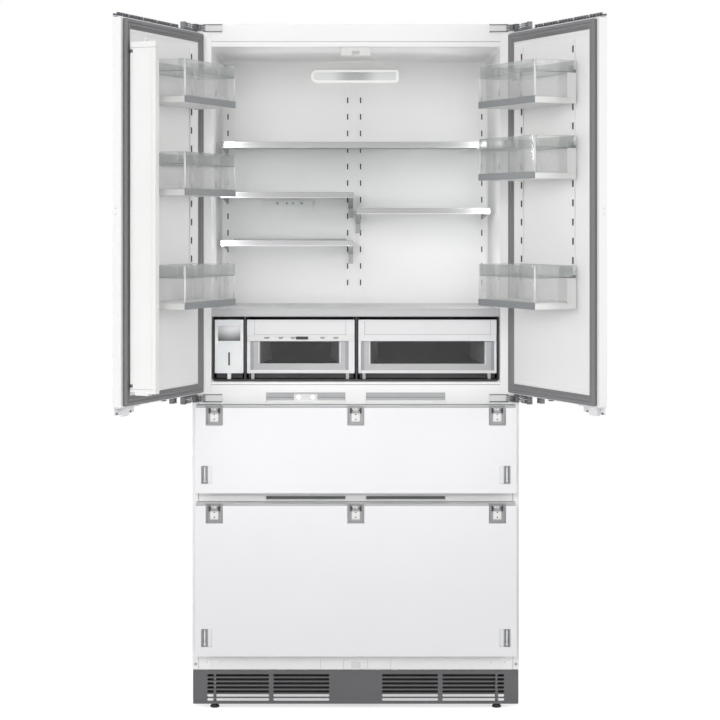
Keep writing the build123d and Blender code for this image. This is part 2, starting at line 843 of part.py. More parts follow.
with BuildPart() as shelf_frames:
    for level, left_end, right_end, left_bracket, right_bracket in shelves.values():
        slab(
            (left_end, right_end),
            (shelf_set_back, shelf_set_back + shelf_trim_depth),
            (level, level + shelf_trim_height),
        )
        slab(
            (left_end + 20, right_end - 20),
            (glass_back + seam, bracket_back),
            (level + glass_seat - 4, level + glass_seat + glass_thickness + 3),
        )
        for middle in (left_bracket, right_bracket):
            bracket_plane = Plane(
                origin=(middle - bracket_thickness / 2, 0, level + glass_seat - seam),
                x_dir=(0, 1, 0),
                z_dir=(1, 0, 0),
            )
            with BuildSketch(bracket_plane):
                with BuildLine():
                    Polyline(
                        (glass_front, 0),
                        (glass_front, -glass_seat),
                        (bracket_back, -bracket_height),
                        (bracket_back, -5),
                        (glass_back, 0),
                        close=True,
                    )
                make_face()
            extrude(amount=bracket_thickness)
save(shelf_frames.part, "shelf_frames")

# Cover over the crispers, which is also the lowest shelf, with a deep front trim.
housing_half = opening_half - seam
cover_front = crisper_front_depth
cover_trim_depth = 14
cover_drop = 8
with BuildPart() as crisper_cover:
    slab(
        (-housing_half, housing_half),
        (cover_front, cover_front + cover_trim_depth),
        (cover_level, cover_level + cover_thickness),
    )
    fillet(crisper_cover.edges().filter_by(Axis.X).group_by(Axis.Y)[0], radius=3)
    slab(
        (-housing_half, housing_half),
        (cover_front + cover_trim_depth, wall_face),
        (cover_level + cover_drop, cover_level + cover_thickness - 3),
    )
save(crisper_cover.part, "crisper_cover")

# Charcoal housing round the crispers: floor, two sides, two posts and a back, each a separate plate.
housing_front = crisper_front_depth + crisper_lip
housing_back = fridge_depth - crisper_back_gap
housing_floor = fridge_floor + seam
housing_sheet = 5
tank_post_gap = 2
centre_post_gap = 2.5
right_crisper_right = opening_half - crisper_side_gap
tank_left = crisper_side_gap - opening_half
tank_right = tank_left + tank_width
left_crisper_left = tank_right + tank_gap
with BuildPart() as crisper_housing:
    floor_levels = (housing_floor, housing_floor + housing_sheet)
    slab((-housing_half, housing_half), (housing_front, housing_back), floor_levels)
    wall_levels = (housing_floor + housing_sheet + seam, cover_level - seam)
    both_sides((housing_half - housing_sheet, housing_half), (housing_front, housing_back), wall_levels)
    for post_left, post_right in (
        (tank_right + tank_post_gap, left_crisper_left - tank_post_gap),
        (left_crisper_right + centre_post_gap, right_crisper_left - centre_post_gap),
    ):
        slab((post_left, post_right), (housing_front, housing_back - housing_sheet - seam), wall_levels)
    slab(
        (-housing_half + housing_sheet + seam, housing_half - housing_sheet - seam),
        (housing_back - housing_sheet, housing_back),
        wall_levels,
    )
save(crisper_housing.part, "crisper_housing")


# Crispers and tank: open-topped boxes on low feet.
front_wall = 10
crisper_bottom = fridge_floor + crisper_lift
crisper_top = cover_level - crisper_head_gap
crisper_length = housing_back - housing_front - crisper_run_out
tank_length = housing_back - housing_front - tank_run_out
crisper_foot_half = (7, 9)


def open_box(x_span, length, floor_sheet):
    """An open-topped box with a thick front wall, standing on four feet."""
    y_span = (crisper_front_depth, crisper_front_depth + length)
    slab(x_span, y_span, (crisper_bottom, crisper_top))
    slab(
        (x_span[0] + crisper_wall, x_span[1] - crisper_wall),
        (y_span[0] + front_wall, y_span[1] - crisper_wall),
        (crisper_bottom + floor_sheet, crisper_top),
        Mode.SUBTRACT,
    )
    feet_floor = housing_floor + housing_sheet + runner_gap
    for foot_x in (x_span[0] + 12, x_span[1] - 12):
        for foot_y in (housing_front + 12, y_span[1] - 20):
            slab(
                (foot_x - crisper_foot_half[0], foot_x + crisper_foot_half[0]),
                (foot_y - crisper_foot_half[1], foot_y + crisper_foot_half[1]),
                (feet_floor, crisper_bottom),
            )


slider_level = crisper_bottom + 99
slider_middle = (left_crisper_left + left_crisper_right) / 2 + 3.5
slider_half = 17
slider_height = 8
groove_depth = 3
groove_run = 2
with BuildPart() as left_crisper:
    open_box((left_crisper_left, left_crisper_right), crisper_length, crisper_floor)
    slab(
        (
            slider_middle - slider_half - humidity_travel - groove_run,
            slider_middle + slider_half + humidity_travel + groove_run,
        ),
        (crisper_front_depth, crisper_front_depth + groove_depth),
        (slider_level - slider_height / 2 - seam, slider_level + slider_height / 2 + seam),
        Mode.SUBTRACT,
    )
save(left_crisper.part, "left_crisper")
with BuildPart() as right_crisper:
    open_box((right_crisper_left, right_crisper_right), crisper_length, crisper_floor)
save(right_crisper.part, "right_crisper")
with BuildPart() as humidity_slider:
    slab(
        (slider_middle - slider_half, slider_middle + slider_half),
        (crisper_front_depth - 2, crisper_front_depth + groove_depth - seam),
        (slider_level - slider_height / 2, slider_level + slider_height / 2),
    )
    fillet(humidity_slider.edges().filter_by(Axis.Y), radius=1.5)
save(humidity_slider.part, "humidity_slider")

# Water tank with a curved grip recess and a slot for reading the level.
grip_width = 62
grip_height = 30
grip_depth = 6
grip_level = crisper_bottom + 110
level_slot_length = 38
level_slot_width = 6
level_slot_level = crisper_bottom + 40
with BuildPart() as water_tank:
    open_box((tank_left, tank_right), tank_length, crisper_floor)
    tank_middle = (tank_left + tank_right) / 2
    with BuildSketch(Plane.XZ.offset(-crisper_front_depth)):
        with Locations((tank_middle, grip_level)):
            Rectangle(grip_width, grip_height)
            with Locations((0, grip_height / 2)):
                Circle(12)
    extrude(amount=-grip_depth, mode=Mode.SUBTRACT)
    with BuildSketch(Plane.XZ.offset(-crisper_front_depth)):
        with Locations((tank_middle, level_slot_level)):
            SlotOverall(level_slot_length, level_slot_width, rotation=90)
    extrude(amount=-groove_depth - 1, mode=Mode.SUBTRACT)
save(water_tank.part, "water_tank")

# Door frames of reference: X runs from the hinge pin towards the door's free edge on the left door
# and away from it on the right one, Y points to the door's inner side.
open_turns = {1: radians(left_open_angle), -1: radians(right_open_angle)}
pivot_x = half_width - pivot_inset
hinge_edge = -pivot_inset
free_edge = door_width - pivot_inset
core_front = door_front + pivot_reach
core_back = door_back + pivot_reach
gasket_face = core_back + gasket_thickness


def door_plane(hand):
    """The open door's own level plane at its hinge pin; hand is 1 on the left and -1 on the right."""
    return Plane(
        origin=(-hand * pivot_x, -pivot_reach, 0),
        x_dir=(cos(open_turns[hand]), -hand * sin(open_turns[hand]), 0),
        z_dir=(0, 0, 1),
    )


def across(hand, start, end):
    """Limits along the door's width, measured from the hinge pin towards the free edge."""
    return tuple(sorted((hand * start, hand * end)))


# Hinge arms: a plate screwed to the cabinet's face, a bearing plate and a fixed pin.
arm_outer = half_width - arm_side_gap
arm_inner = arm_outer - arm_length
leaf_top = door_top + seam + hinge_plate
leaf_bottom = door_bottom - seam - hinge_plate
with BuildPart() as hinge_arms:
    for hand in (1, -1):
        for toward, leaf_level in ((1, leaf_top), (-1, leaf_bottom)):
            near = leaf_level + toward * hinge_lift
            far = near + toward * hinge_plate
            plate_low = min(near, far)
            with BuildSketch(Plane.XY.offset(plate_low)):
                with Locations((-hand * pivot_x, -pivot_reach)):
                    Circle(knuckle_radius)
                with BuildLine():
                    Polyline(
                        (-hand * (pivot_x + knuckle_radius * 0.8), -pivot_reach + knuckle_radius * 0.6),
                        (-hand * (pivot_x - 6), 0),
                        (-hand * arm_inner, 0),
                        (-hand * (arm_inner + 8), -arm_proud),
                        (-hand * arm_outer, -arm_proud * 2),
                        (-hand * (pivot_x - knuckle_radius * 0.5), -pivot_reach - knuckle_radius * 0.8),
                        close=True,
                    )
                make_face()
            extrude(amount=hinge_plate)
            face_low = min(leaf_level - toward * 2, leaf_level + toward * (arm_height - 2))
            slab(
                across(1, -hand * arm_outer, -hand * arm_inner),
                (-arm_proud, 0),
                (face_low, face_low + arm_height),
            )
            pin_span = sorted((far, leaf_level - toward * hinge_plate))
            rod(
                (-hand * pivot_x, -pivot_reach, sum(pin_span) / 2),
                door_pin_radius,
                pin_span[1] - pin_span[0],
                "z",
            )
save(hinge_arms.part, "hinge_arms")

# Folding bar's hinge on the left door.
bar_pivot_u = pivot_x - bar_pin_from_centre
bar_pivot_v = pivot_reach + bar_pin_depth
lug_levels = (bar_bottom + bar_notch_lift, bar_top - bar_notch_lift - lug_height)
notch_gap = 1

# Doors: an insulated slab, an inner liner with bin ladders, a gasket, bins and fittings.
gasket_hinge = hinge_edge + gasket_hinge_inset
gasket_free = free_edge - gasket_free_inset
gasket_bottom = door_bottom + gasket_end_inset
gasket_top = door_top - gasket_end_inset
liner_gap = 0.5
liner_hinge = gasket_hinge + gasket_width + liner_gap
liner_free = gasket_free - gasket_width - liner_gap
liner_levels = (gasket_bottom + gasket_width + liner_gap, gasket_top - gasket_width - liner_gap)
ladder_levels = (liner_levels[0] + 20, liner_levels[1] - 20)
slot_count = int((liner_levels[1] - liner_levels[0]) / ladder_slot_pitch) - 1
bin_free = gasket_free - bin_free_inset
bin_hinge = liner_hinge + bin_hinge_inset
ladder_middles = (bin_hinge + ladder_inset, bin_free - ladder_inset)
ladder_face = core_back + liner_rise + ladder_rise
bin_back = ladder_face + seam
rail_height = 14
rail_front_inset = 1
rail_depth = 14
rail_gap = 18  # between the hinge leaf and the panel rail
for hand, side, bin_shares in ((1, "left", left_bin_shares), (-1, "right", right_bin_shares)):
    swing = door_plane(hand)

    with BuildPart(swing) as door_core:
        slab(across(hand, hinge_edge, free_edge), (core_front, core_back), (door_bottom, door_top))
        fillet(door_core.edges().filter_by(Axis.Z), radius=1.5)
    save(door_core.part, f"{side}_door")

    with BuildPart(swing) as door_liner:
        slab(across(hand, liner_hinge, liner_free), (core_back, core_back + liner_rise), liner_levels)
        for middle in ladder_middles:
            slab(
                across(hand, middle - ladder_width / 2, middle + ladder_width / 2),
                (core_back + liner_rise, ladder_face),
                ladder_levels,
            )
            with Locations((hand * middle, ladder_face, sum(liner_levels) / 2)):
                for step in range(slot_count + 1):
                    with Locations((0, 0, (step - slot_count / 2) * ladder_slot_pitch)):
                        Box(4, 2 * ladder_rise, ladder_slot_height, mode=Mode.SUBTRACT)
    save(door_liner.part, f"{side}_door_liner")

    with BuildPart(swing) as door_gasket:
        slab(across(hand, gasket_hinge, gasket_free), (core_back, gasket_face), (gasket_bottom, gasket_top))
        fillet(door_gasket.edges().filter_by(Axis(swing.origin, swing.y_dir)), radius=4)
        slab(
            across(hand, gasket_hinge + gasket_width, gasket_free - gasket_width),
            (core_back, gasket_face),
            (gasket_bottom + gasket_width, gasket_top - gasket_width),
            Mode.SUBTRACT,
        )
    save(door_gasket.part, f"{side}_door_gasket")

    for name, share in bin_shares.items():
        level = door_bottom + share * door_height
        with BuildPart(swing) as door_bin:
            slab(
                across(hand, bin_hinge, bin_free),
                (bin_back, bin_back + bin_depth),
                (level, level + bin_height),
            )
            fillet(door_bin.edges().filter_by(Axis.Z), radius=6)
            slab(
                across(hand, bin_hinge + bin_wall, bin_free - bin_wall),
                (bin_back + bin_wall, bin_back + bin_depth - bin_wall),
                (level + bin_floor, level + bin_height),
                Mode.SUBTRACT,
            )
        save(door_bin.part, name)

    with BuildPart(swing) as door_fittings:
        leaf_outline = across(hand, 0, leaf_length)
        for leaf_low in (door_top + seam, leaf_bottom):
            slab(leaf_outline, (-knuckle_radius, knuckle_radius), (leaf_low, leaf_low + hinge_plate))
            rod((0, 0, leaf_low + hinge_plate / 2), knuckle_radius, hinge_plate, "z")
            rod(
                (0, 0, leaf_low + hinge_plate / 2),
                door_pin_radius + running_clearance,
                2 * hinge_plate,
                "z",
                Mode.SUBTRACT,
            )
        slab(
            across(hand, leaf_length + rail_gap, free_edge),
            (core_front + rail_front_inset, core_front + rail_front_inset + rail_depth),
            (door_top + seam, door_top + seam + rail_height),
        )
        if hand == 1:
            for lug_low in lug_levels:
                lug_span = (lug_low, lug_low + lug_height)
                lug_start = liner_free - lug_foot - 4
                arm_span = (bar_pivot_v - lug_radius, bar_pivot_v + lug_radius)
                slab((lug_start, bar_pivot_u), arm_span, lug_span)
                foot_span = (core_back + liner_rise + seam, bar_pivot_v)
                slab((lug_start, lug_start + lug_foot), foot_span, lug_span)
                rod((bar_pivot_u, bar_pivot_v, lug_low + lug_height / 2), lug_radius, lug_height, "z")
                rod(
                    (bar_pivot_u, bar_pivot_v, lug_low + lug_height / 2),
                    hinge_pin_radius + running_clearance,
                    2 * lug_height,
                    "z",
                    Mode.SUBTRACT,
                )
    save(door_fittings.part, f"{side}_door_fittings")

# Folding bar: folded square to the left door's inner side, with its hinge pins, and a guide peg on top.
left_swing = door_plane(1)
bar_pivot = left_swing.from_local_coords(Vector(bar_pivot_u, bar_pivot_v, 0))
with BuildPart(Plane(origin=bar_pivot, x_dir=left_swing.y_dir, z_dir=(0, 0, 1))) as folding_bar:
    slab(
        (-bar_heel, bar_width - bar_heel),
        (-bar_front, bar_thickness - bar_front),
        (bar_bottom, bar_top),
    )
    fillet(folding_bar.edges().filter_by(Axis.Z).sort_by(Axis.X)[0:2], radius=2)
    for lug_low in lug_levels:
        slab(
            (-bar_heel - 1, lug_radius + 2 * notch_gap),
            (-bar_front - 1, bar_thickness - bar_front + 1),
            (lug_low - notch_gap, lug_low + lug_height + notch_gap),
            Mode.SUBTRACT,
        )
        rod((0, 0, lug_low + lug_height / 2), hinge_pin_radius, lug_height + 4 * notch_gap, "z")
    peg_foot = bar_top + seam
    peg_top = bar_top + guide_peg_height
    rod(
        (bar_pin_from_centre, 0, (peg_foot + peg_top) / 2),
        guide_peg_radius,
        peg_top - peg_foot,
        "z",
    )
save(folding_bar.part, "folding_bar")

# Drawers: a panel with hanger pockets, a gasket, a steel hanger, clip and runner set, and a bin.
drawer_half = half_width - drawer_side_gap
runner_thickness = slide_thickness / 2 - slide_clearance
runner_wall = opening_half - seam
bin_half = runner_wall - slide_thickness - seam
drawers = (
    (
        "upper",
        upper_floor - upper_panel_drop,
        upper_ceiling + upper_panel_rise,
        upper_floor,
        upper_freezer_depth - upper_bin_back_gap,
        upper_opening_height - bin_lift - upper_bin_head_gap,
    ),
    (
        "lower",
        lower_floor - lower_panel_drop,
        lower_ceiling + lower_panel_rise,
        lower_floor,
        lower_freezer_depth - lower_bin_back_gap,
        lower_opening_height - bin_lift - lower_bin_head_gap,
    ),
)
hanger_pitch = drawer_half - hanger_side_inset
hanger_places = (-hanger_pitch, 0, hanger_pitch)
clip_place = drawer_half - clip_inset


def drawer_pockets(foot, top, margin, y_span, mode=Mode.ADD):
    """Blocks for the three hangers and the two side clips, smaller than their pockets by a margin."""
    for middle in hanger_places:
        slab(
            (middle - hanger_width / 2 + margin, middle + hanger_width / 2 - margin),
            y_span,
            (top - hanger_height + margin, top),
            mode,
        )
    for middle in (-clip_place, clip_place):
        slab(
            (middle - clip_width / 2 + margin, middle + clip_width / 2 - margin),
            y_span,
            (foot + clip_lift - clip_height / 2 + margin, foot + clip_lift + clip_height / 2 - margin),
            mode,
        )


for row, foot, top, floor, depth, height in drawers:
    with BuildPart() as drawer_front:
        slab((-drawer_half, drawer_half), (door_front, door_back), (foot, top))
        fillet(drawer_front.edges().filter_by(Axis.Z), radius=1.5)
        drawer_pockets(foot, top, 0, (door_front, door_front + pocket_depth), Mode.SUBTRACT)
    save(drawer_front.part, f"{row}_drawer_front")

    with BuildPart() as drawer_gasket:
        ring = drawer_gasket_inset + drawer_gasket_width
        slab(
            (-drawer_half + drawer_gasket_inset, drawer_half - drawer_gasket_inset),
            (door_back, -gasket_clearance),
            (foot + drawer_gasket_inset, top - drawer_gasket_inset),
        )
        fillet(drawer_gasket.edges().filter_by(Axis.Y), radius=4)
        slab(
            (-drawer_half + ring, drawer_half - ring),
            (door_back, -gasket_clearance),
            (foot + ring, top - ring),
            Mode.SUBTRACT,
        )
    save(drawer_gasket.part, f"{row}_drawer_gasket")

    bin_base = floor + bin_lift
    runner_middle = bin_base + height / 2
    runner_levels = (runner_middle - slide_height / 2, runner_middle + slide_height / 2)
    with BuildPart() as drawer_metalwork:
        drawer_pockets(foot, top, pocket_gap, (door_front + pocket_gap, door_front + pocket_depth))
        both_sides(
            (bin_half + seam, bin_half + seam + runner_thickness),
            (door_back, depth - slide_back_gap),
            runner_levels,
        )
    save(drawer_metalwork.part, f"{row}_drawer_metalwork")

    with BuildPart() as drawer_bin:
        slab((-bin_half, bin_half), (door_back + seam, depth), (bin_base, bin_base + height))
        fillet(drawer_bin.edges().filter_by(Axis.Z), radius=8)
        slab(
            (-bin_half + drawer_wall, bin_half - drawer_wall),
            (door_back + seam + drawer_wall, depth - drawer_wall),
            (bin_base + drawer_wall, bin_base + height),
            Mode.SUBTRACT,
        )
    save(drawer_bin.part, f"{row}_drawer_bin")

# Fixed slide members, screwed to the freezer liners' sides.
with BuildPart() as cabinet_slides:
    for row, foot, top, floor, depth, height in drawers:
        runner_middle = floor + bin_lift + height / 2
        both_sides(
            (runner_wall - runner_thickness, runner_wall),
            (slide_front, depth - slide_back_gap),
            (runner_middle - slide_height / 2, runner_middle + slide_height / 2),
        )
save(cabinet_slides.part, "cabinet_slides")
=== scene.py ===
import json
import math
import bmesh
import bpy
from mathutils import Matrix, Vector


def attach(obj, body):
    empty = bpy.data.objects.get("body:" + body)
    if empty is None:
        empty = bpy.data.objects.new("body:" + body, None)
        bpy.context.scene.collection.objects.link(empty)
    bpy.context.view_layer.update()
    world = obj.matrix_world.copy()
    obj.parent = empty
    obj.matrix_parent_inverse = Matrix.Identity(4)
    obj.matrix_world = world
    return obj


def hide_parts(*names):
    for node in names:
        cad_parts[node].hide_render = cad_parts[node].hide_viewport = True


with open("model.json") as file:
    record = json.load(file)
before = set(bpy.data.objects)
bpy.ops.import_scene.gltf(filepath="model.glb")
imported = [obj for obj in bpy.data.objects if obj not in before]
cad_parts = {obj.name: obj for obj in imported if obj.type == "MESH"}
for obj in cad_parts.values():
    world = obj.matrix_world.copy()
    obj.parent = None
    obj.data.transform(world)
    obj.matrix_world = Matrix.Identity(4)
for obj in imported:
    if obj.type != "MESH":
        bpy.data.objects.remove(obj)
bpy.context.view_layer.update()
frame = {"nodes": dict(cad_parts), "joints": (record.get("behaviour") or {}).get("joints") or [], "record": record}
nodes = frame["nodes"]
bodyOf = {name: body for body, names in frame["record"]["behaviour"]["bodies"].items() for name in names}
mm = 0.001

# Camera: level, straight ahead, 5.06 m in front of the cabinet's face.
camera = bpy.data.objects.new("camera", bpy.data.cameras.new("camera"))
camera.data.lens = 91.0
camera.data.sensor_width = 36.0
camera.data.shift_x = 0.0209
camera.data.shift_y = -0.190
camera.location = (-0.03, -5.063, 1.349)
camera.rotation_euler = (math.radians(90.0), 0.0, 0.0)
bpy.context.scene.collection.objects.link(camera)
bpy.context.scene.camera = camera


# Adds one node of any kind: its settings, its inputs (values or sockets to link from) and where it leads.
def addNode(tree, kind, settings=None, inputs=None, to=None, output=0):
    node = tree.nodes.new(kind)
    for key, value in (settings or {}).items():
        setattr(node, key, value)
    for key, value in (inputs or {}).items():
        if isinstance(value, bpy.types.NodeSocket):
            tree.links.new(value, node.inputs[key])
        else:
            node.inputs[key].default_value = value
    if to is not None:
        tree.links.new(node.outputs[output], to)
    return node


def hexColour(text):
    shares = [int(text[start:start + 2], 16) / 255.0 for start in (1, 3, 5)]
    linear = [c / 12.92 if c <= 0.04045 else ((c + 0.055) / 1.055) ** 2.4 for c in shares]
    return (*linear, 1.0)


# World: white for the eye, mirrors and glass, and dimmer as a light.
world = bpy.data.worlds.new("studio")
bpy.context.scene.world = world
world.use_nodes = True
sky = world.node_tree
background = sky.nodes["Background"]
background.inputs["Color"].default_value = (1.0, 1.0, 1.0, 1.0)
rays = addNode(sky, "ShaderNodeLightPath").outputs
either = {"operation": "MAXIMUM"}
seen = addNode(sky, "ShaderNodeMath", either, {0: rays["Is Camera Ray"], 1: rays["Is Glossy Ray"]})
clear = addNode(sky, "ShaderNodeMath", either, {0: seen.outputs[0], 1: rays["Is Transmission Ray"]})
dimmed = {"Value": clear.outputs[0], "To Min": 0.47, "To Max": 1.0}
addNode(sky, "ShaderNodeMapRange", None, dimmed, background.inputs["Strength"])

# Studio lights, in metres and watts. Softboxes at both sides light the doors' inner faces, one stands in
# front, one above, and a narrow one low in front for the drawers. Four strips stand for the fridge's lamps.
lamps = {
    "leftSoftbox": {"at": (-3.4, -1.4, 1.7), "aim": (0.5, -0.2, 1.3), "size": (1.6, 2.2), "power": 44.0},
    "rightSoftbox": {"at": (3.4, -1.4, 1.7), "aim": (-0.5, -0.2, 1.3), "size": (1.6, 2.2), "power": 40.0},
    "frontSoftbox": {"at": (-0.9, -5.4, 2.6), "aim": (0.0, 0.0, 1.1), "size": (3.2, 2.0), "power": 92.0},
    "topSoftbox": {"at": (0.6, -0.8, 4.6), "aim": (0.0, 0.1, 1.0), "size": (3.0, 3.0), "power": 12.0},
    "leftStrip": {"at": (-0.385, 0.13, 1.42), "aim": (0.3, 0.36, 1.36), "size": (0.02, 0.6), "power": 1.1},
    "rightStrip": {"at": (0.385, 0.13, 1.42), "aim": (-0.3, 0.36, 1.36), "size": (0.02, 0.6), "power": 1.1},
    "ceilingStrip": {"at": (0.0, 0.06, 1.825), "aim": (0.0, 0.25, 1.2), "size": (0.7, 0.03), "power": 0.03},
    "floorStrip": {"at": (0.0, 0.08, 1.13), "aim": (0.0, 0.22, 1.8), "size": (0.7, 0.03), "power": 0.75},
    "lowSoftbox": {"at": (0.0, -1.5, 1.1), "aim": (0.0, 0.0, 0.84), "size": (0.9, 0.3), "power": 0.42},
}
lampSpread = {"lowSoftbox": 40.0}  # degrees, where it isn't the full half circle
for name, lamp in lamps.items():
    light = bpy.data.lights.new(name, "AREA")
    light.shape = "RECTANGLE"
    light.size, light.size_y = lamp["size"]
    light.energy = lamp["power"]
    light.spread = math.radians(lampSpread.get(name, 180.0))
    softbox = bpy.data.objects.new(name, light)
    softbox.location = lamp["at"]
    away = Vector(lamp["at"]) - Vector(lamp["aim"])
    softbox.rotation_euler = away.to_track_quat("Z", "Y").to_euler()
    softbox.visible_camera = False
    bpy.context.scene.collection.objects.link(softbox)
bpy.context.scene.view_settings.view_transform = "Standard"
print("camera and lights are in place")


# Materials. Patterns read Object coordinates, in metres, and a pattern's size is given in millimetres.
def patternScale(size):
    return 1000.0 / size


def plainMaterial(name, colour, roughness, metallic=0.0, **constants):
    material = bpy.data.materials.new(name)
    material.use_nodes = True
    tree = material.node_tree
    shader = tree.nodes["Principled BSDF"]
    shader.inputs["Base Color"].default_value = hexColour(colour)
    shader.inputs["Roughness"].default_value = roughness
    shader.inputs["Metallic"].default_value = metallic
    for key, value in constants.items():
        shader.inputs[key.replace("_", " ")].default_value = value
    place = addNode(tree, "ShaderNodeTexCoord").outputs["Object"]
    return material, tree, shader, place


# What every moulded or painted skin has: a broad, low mottling of tone and gloss, and a fine relief.
# Sizes of the patterns and the relief's depth are in millimetres.
skins = {
    # Powder-coated white steel: bright, softly glossy, with faint orange peel.
    "whitePaint": {
        "name": "white_painted_steel", "colours": ("#EEEEEE", "#F3F3F2"), "roughness": (0.3, 0.4),
        "coat": (0.25, 0.12), "mottle": 333.3, "grain": 1.43, "relief": (0.1, 0.4),
    },
    # The cabinet's white paint again on the doors' folded edges, made a little greyer: painted shade.
    "doorPaint": {
        "name": "door_painted_steel", "colours": ("#E0E0E1", "#E5E5E6"), "roughness": (0.33, 0.43),
        "coat": (0.2, 0.15), "mottle": 357.0, "grain": 1.43, "relief": (0.1, 0.4),
    },
    # Soft grey painted steel of the bare drawer fronts: satin, so they shade from top to bottom.
    "greyPaint": {
        "name": "grey_painted_steel", "colours": ("#E3E3E6", "#E8E8EA"), "roughness": (0.36, 0.46),
        "coat": (0.15, 0.2), "mottle": 400.0, "grain": 1.43, "relief": (0.1, 0.4),
    },
    # Moulded white ABS: smooth, with a soft sheen and a very fine spark-eroded grain.
    "whiteAbs": {
        "name": "moulded_white_abs", "colours": ("#DEDEDD", "#E3E3E2"), "roughness": (0.36, 0.46),
        "coat": (0.1, 0.25), "mottle": 166.7, "grain": 0.71, "relief": (0.12, 0.3),
    },
    # Vacuum-formed light grey polystyrene of the fridge liner: satin, slightly warm.
    "liner": {
        "name": "polystyrene_liner", "colours": ("#E3E2E2", "#E9E8E8"), "roughness": (0.38, 0.5),
        "coat": (0.12, 0.3), "mottle": 250.0, "grain": 1.11, "relief": (0.1, 0.4),
    },
    # The same sheet, whiter, on the doors' inner side and in the freezer.
    "whiteLiner": {
        "name": "white_polystyrene_liner", "colours": ("#E4E3E3", "#EAE9E9"), "roughness": (0.38, 0.5),
        "coat": (0.12, 0.3), "mottle": 250.0, "grain": 1.11, "relief": (0.1, 0.4),
    },
    # Charcoal ABS round the crispers: dark and matt, with a leather-like grain.
    "charcoal": {
        "name": "charcoal_abs", "colours": ("#373537", "#413F41"), "roughness": (0.45, 0.6),
        "mottle": 125.0, "grain": 0.91, "relief": (0.3, 0.5),
    },
    # Mid grey ABS of small parts and shadow lines.
    "greyAbs": {
        "name": "grey_abs", "colours": ("#94969A", "#9EA0A3"), "roughness": (0.36, 0.46),
        "mottle": 111.1, "grain": 0.83, "relief": (0.2, 0.4),
    },
    # Darker grey ABS of the bins' front trims.
    "binTrim": {
        "name": "dark_grey_abs", "colours": ("#7C7F81", "#86898B"), "roughness": (0.34, 0.44),
        "mottle": 111.1, "grain": 0.83, "relief": (0.2, 0.4),
    },
    # Pale grey ABS of the crispers' front frames.
    "frontGrey": {
        "name": "crisper_front_abs", "colours": ("#DDDDDF", "#E3E3E4"), "roughness": (0.32, 0.42),
        "mottle": 111.1, "grain": 0.83, "relief": (0.15, 0.3),
    },
    # Satin trim on the shelves' front edges: it looks like printed aluminium.
    "trim": {
        "name": "satin_shelf_trim", "colours": ("#A2A2A4", "#A9A9AB"), "roughness": (0.28, 0.38),
        "coat": (0.3, 0.15), "mottle": 83.3, "grain": 0.67, "relief": (0.1, 0.3),
    },
    # The same trim, paler, on the crisper cover and on the drawers' hangers.
    "coverTrim": {
        "name": "satin_cover_trim", "colours": ("#B0B0B2", "#B7B7B9"), "roughness": (0.28, 0.38),
        "coat": (0.3, 0.15), "mottle": 83.3, "grain": 0.67, "relief": (0.1, 0.3),
    },
    # Grille plastic: mid-dark grey, satin.
    "grille": {
        "name": "grey_grille_plastic", "colours": ("#5C5C5E", "#666668"), "roughness": (0.4, 0.52),
        "mottle": 142.9, "grain": 1.0, "relief": (0.25, 0.4),
    },
    # Door seal: dull grey elastomer with a dusty bloom.
    "gasket": {
        "name": "thermoplastic_seal", "colours": ("#747476", "#808082"), "roughness": (0.55, 0.7),
        "mottle": 71.4, "grain": 1.25, "relief": (0.25, 0.5),
    },
    # Black rubber of the feet and the compressor's pads.
    "rubber": {
        "name": "black_rubber", "colours": ("#19191A", "#242425"), "roughness": (0.55, 0.75),
        "mottle": 40.0, "grain": 1.11, "relief": (0.4, 0.5),
    },
    # Black stove-enamelled steel of the compressor pot: deep gloss over a slightly wavy skin.
    "enamel": {
        "name": "black_enamelled_steel", "colours": ("#121213", "#1C1C1D"), "roughness": (0.22, 0.34),
        "coat": (0.6, 0.08), "mottle": 111.1, "grain": 3.33, "relief": (0.2, 0.6),
    },
    # Die-cast hinge metal: dark grey, dull, with cast grain.
    "hinge": {
        "name": "die_cast_zinc", "colours": ("#5E5F62", "#77787B"), "roughness": (0.35, 0.5),
        "metallic": 0.85, "mottle": 25.0, "grain": 0.77, "relief": (0.25, 0.4),
    },
    # Milky polypropylene of the water tank: lets some light through and scatters it.
    "tank": {
        "name": "milky_polypropylene", "colours": ("#E6E8E9", "#EEEFF0"), "roughness": (0.35, 0.5),
        "scatter": (0.2, 0.01), "mottle": 83.3, "grain": 1.11, "relief": (0.12, 0.4),
    },
}


colourMix = {"data_type": "RGBA"}


def addMottle(tree, shader, place, skin):
    inputs = {"Vector": place, "Scale": patternScale(skin["mottle"]), "Detail": 3.0}
    mottle = addNode(tree, "ShaderNodeTexNoise", None, inputs).outputs["Fac"]
    low, high = skin["roughness"]
    inputs = {"Value": mottle, "From Min": 0.3, "From Max": 0.7, "To Min": low, "To Max": high}
    addNode(tree, "ShaderNodeMapRange", None, inputs, shader.inputs["Roughness"])
    first, second = [hexColour(colour) for colour in skin["colours"]]
    inputs = {0: mottle, 6: first, 7: second}
    addNode(tree, "ShaderNodeMix", colourMix, inputs, shader.inputs["Base Color"], 2)


# A fine relief: the size of its grain and its depth in millimetres, and its strength.
def addGrain(tree, shader, place, size, strength, depth, detail=2.0):
    inputs = {"Vector": place, "Scale": patternScale(size), "Detail": detail}
    grain = addNode(tree, "ShaderNodeTexNoise", None, inputs).outputs["Fac"]
    inputs = {"Height": grain, "Strength": strength, "Distance": depth * mm}
    addNode(tree, "ShaderNodeBump", None, inputs, shader.inputs["Normal"])


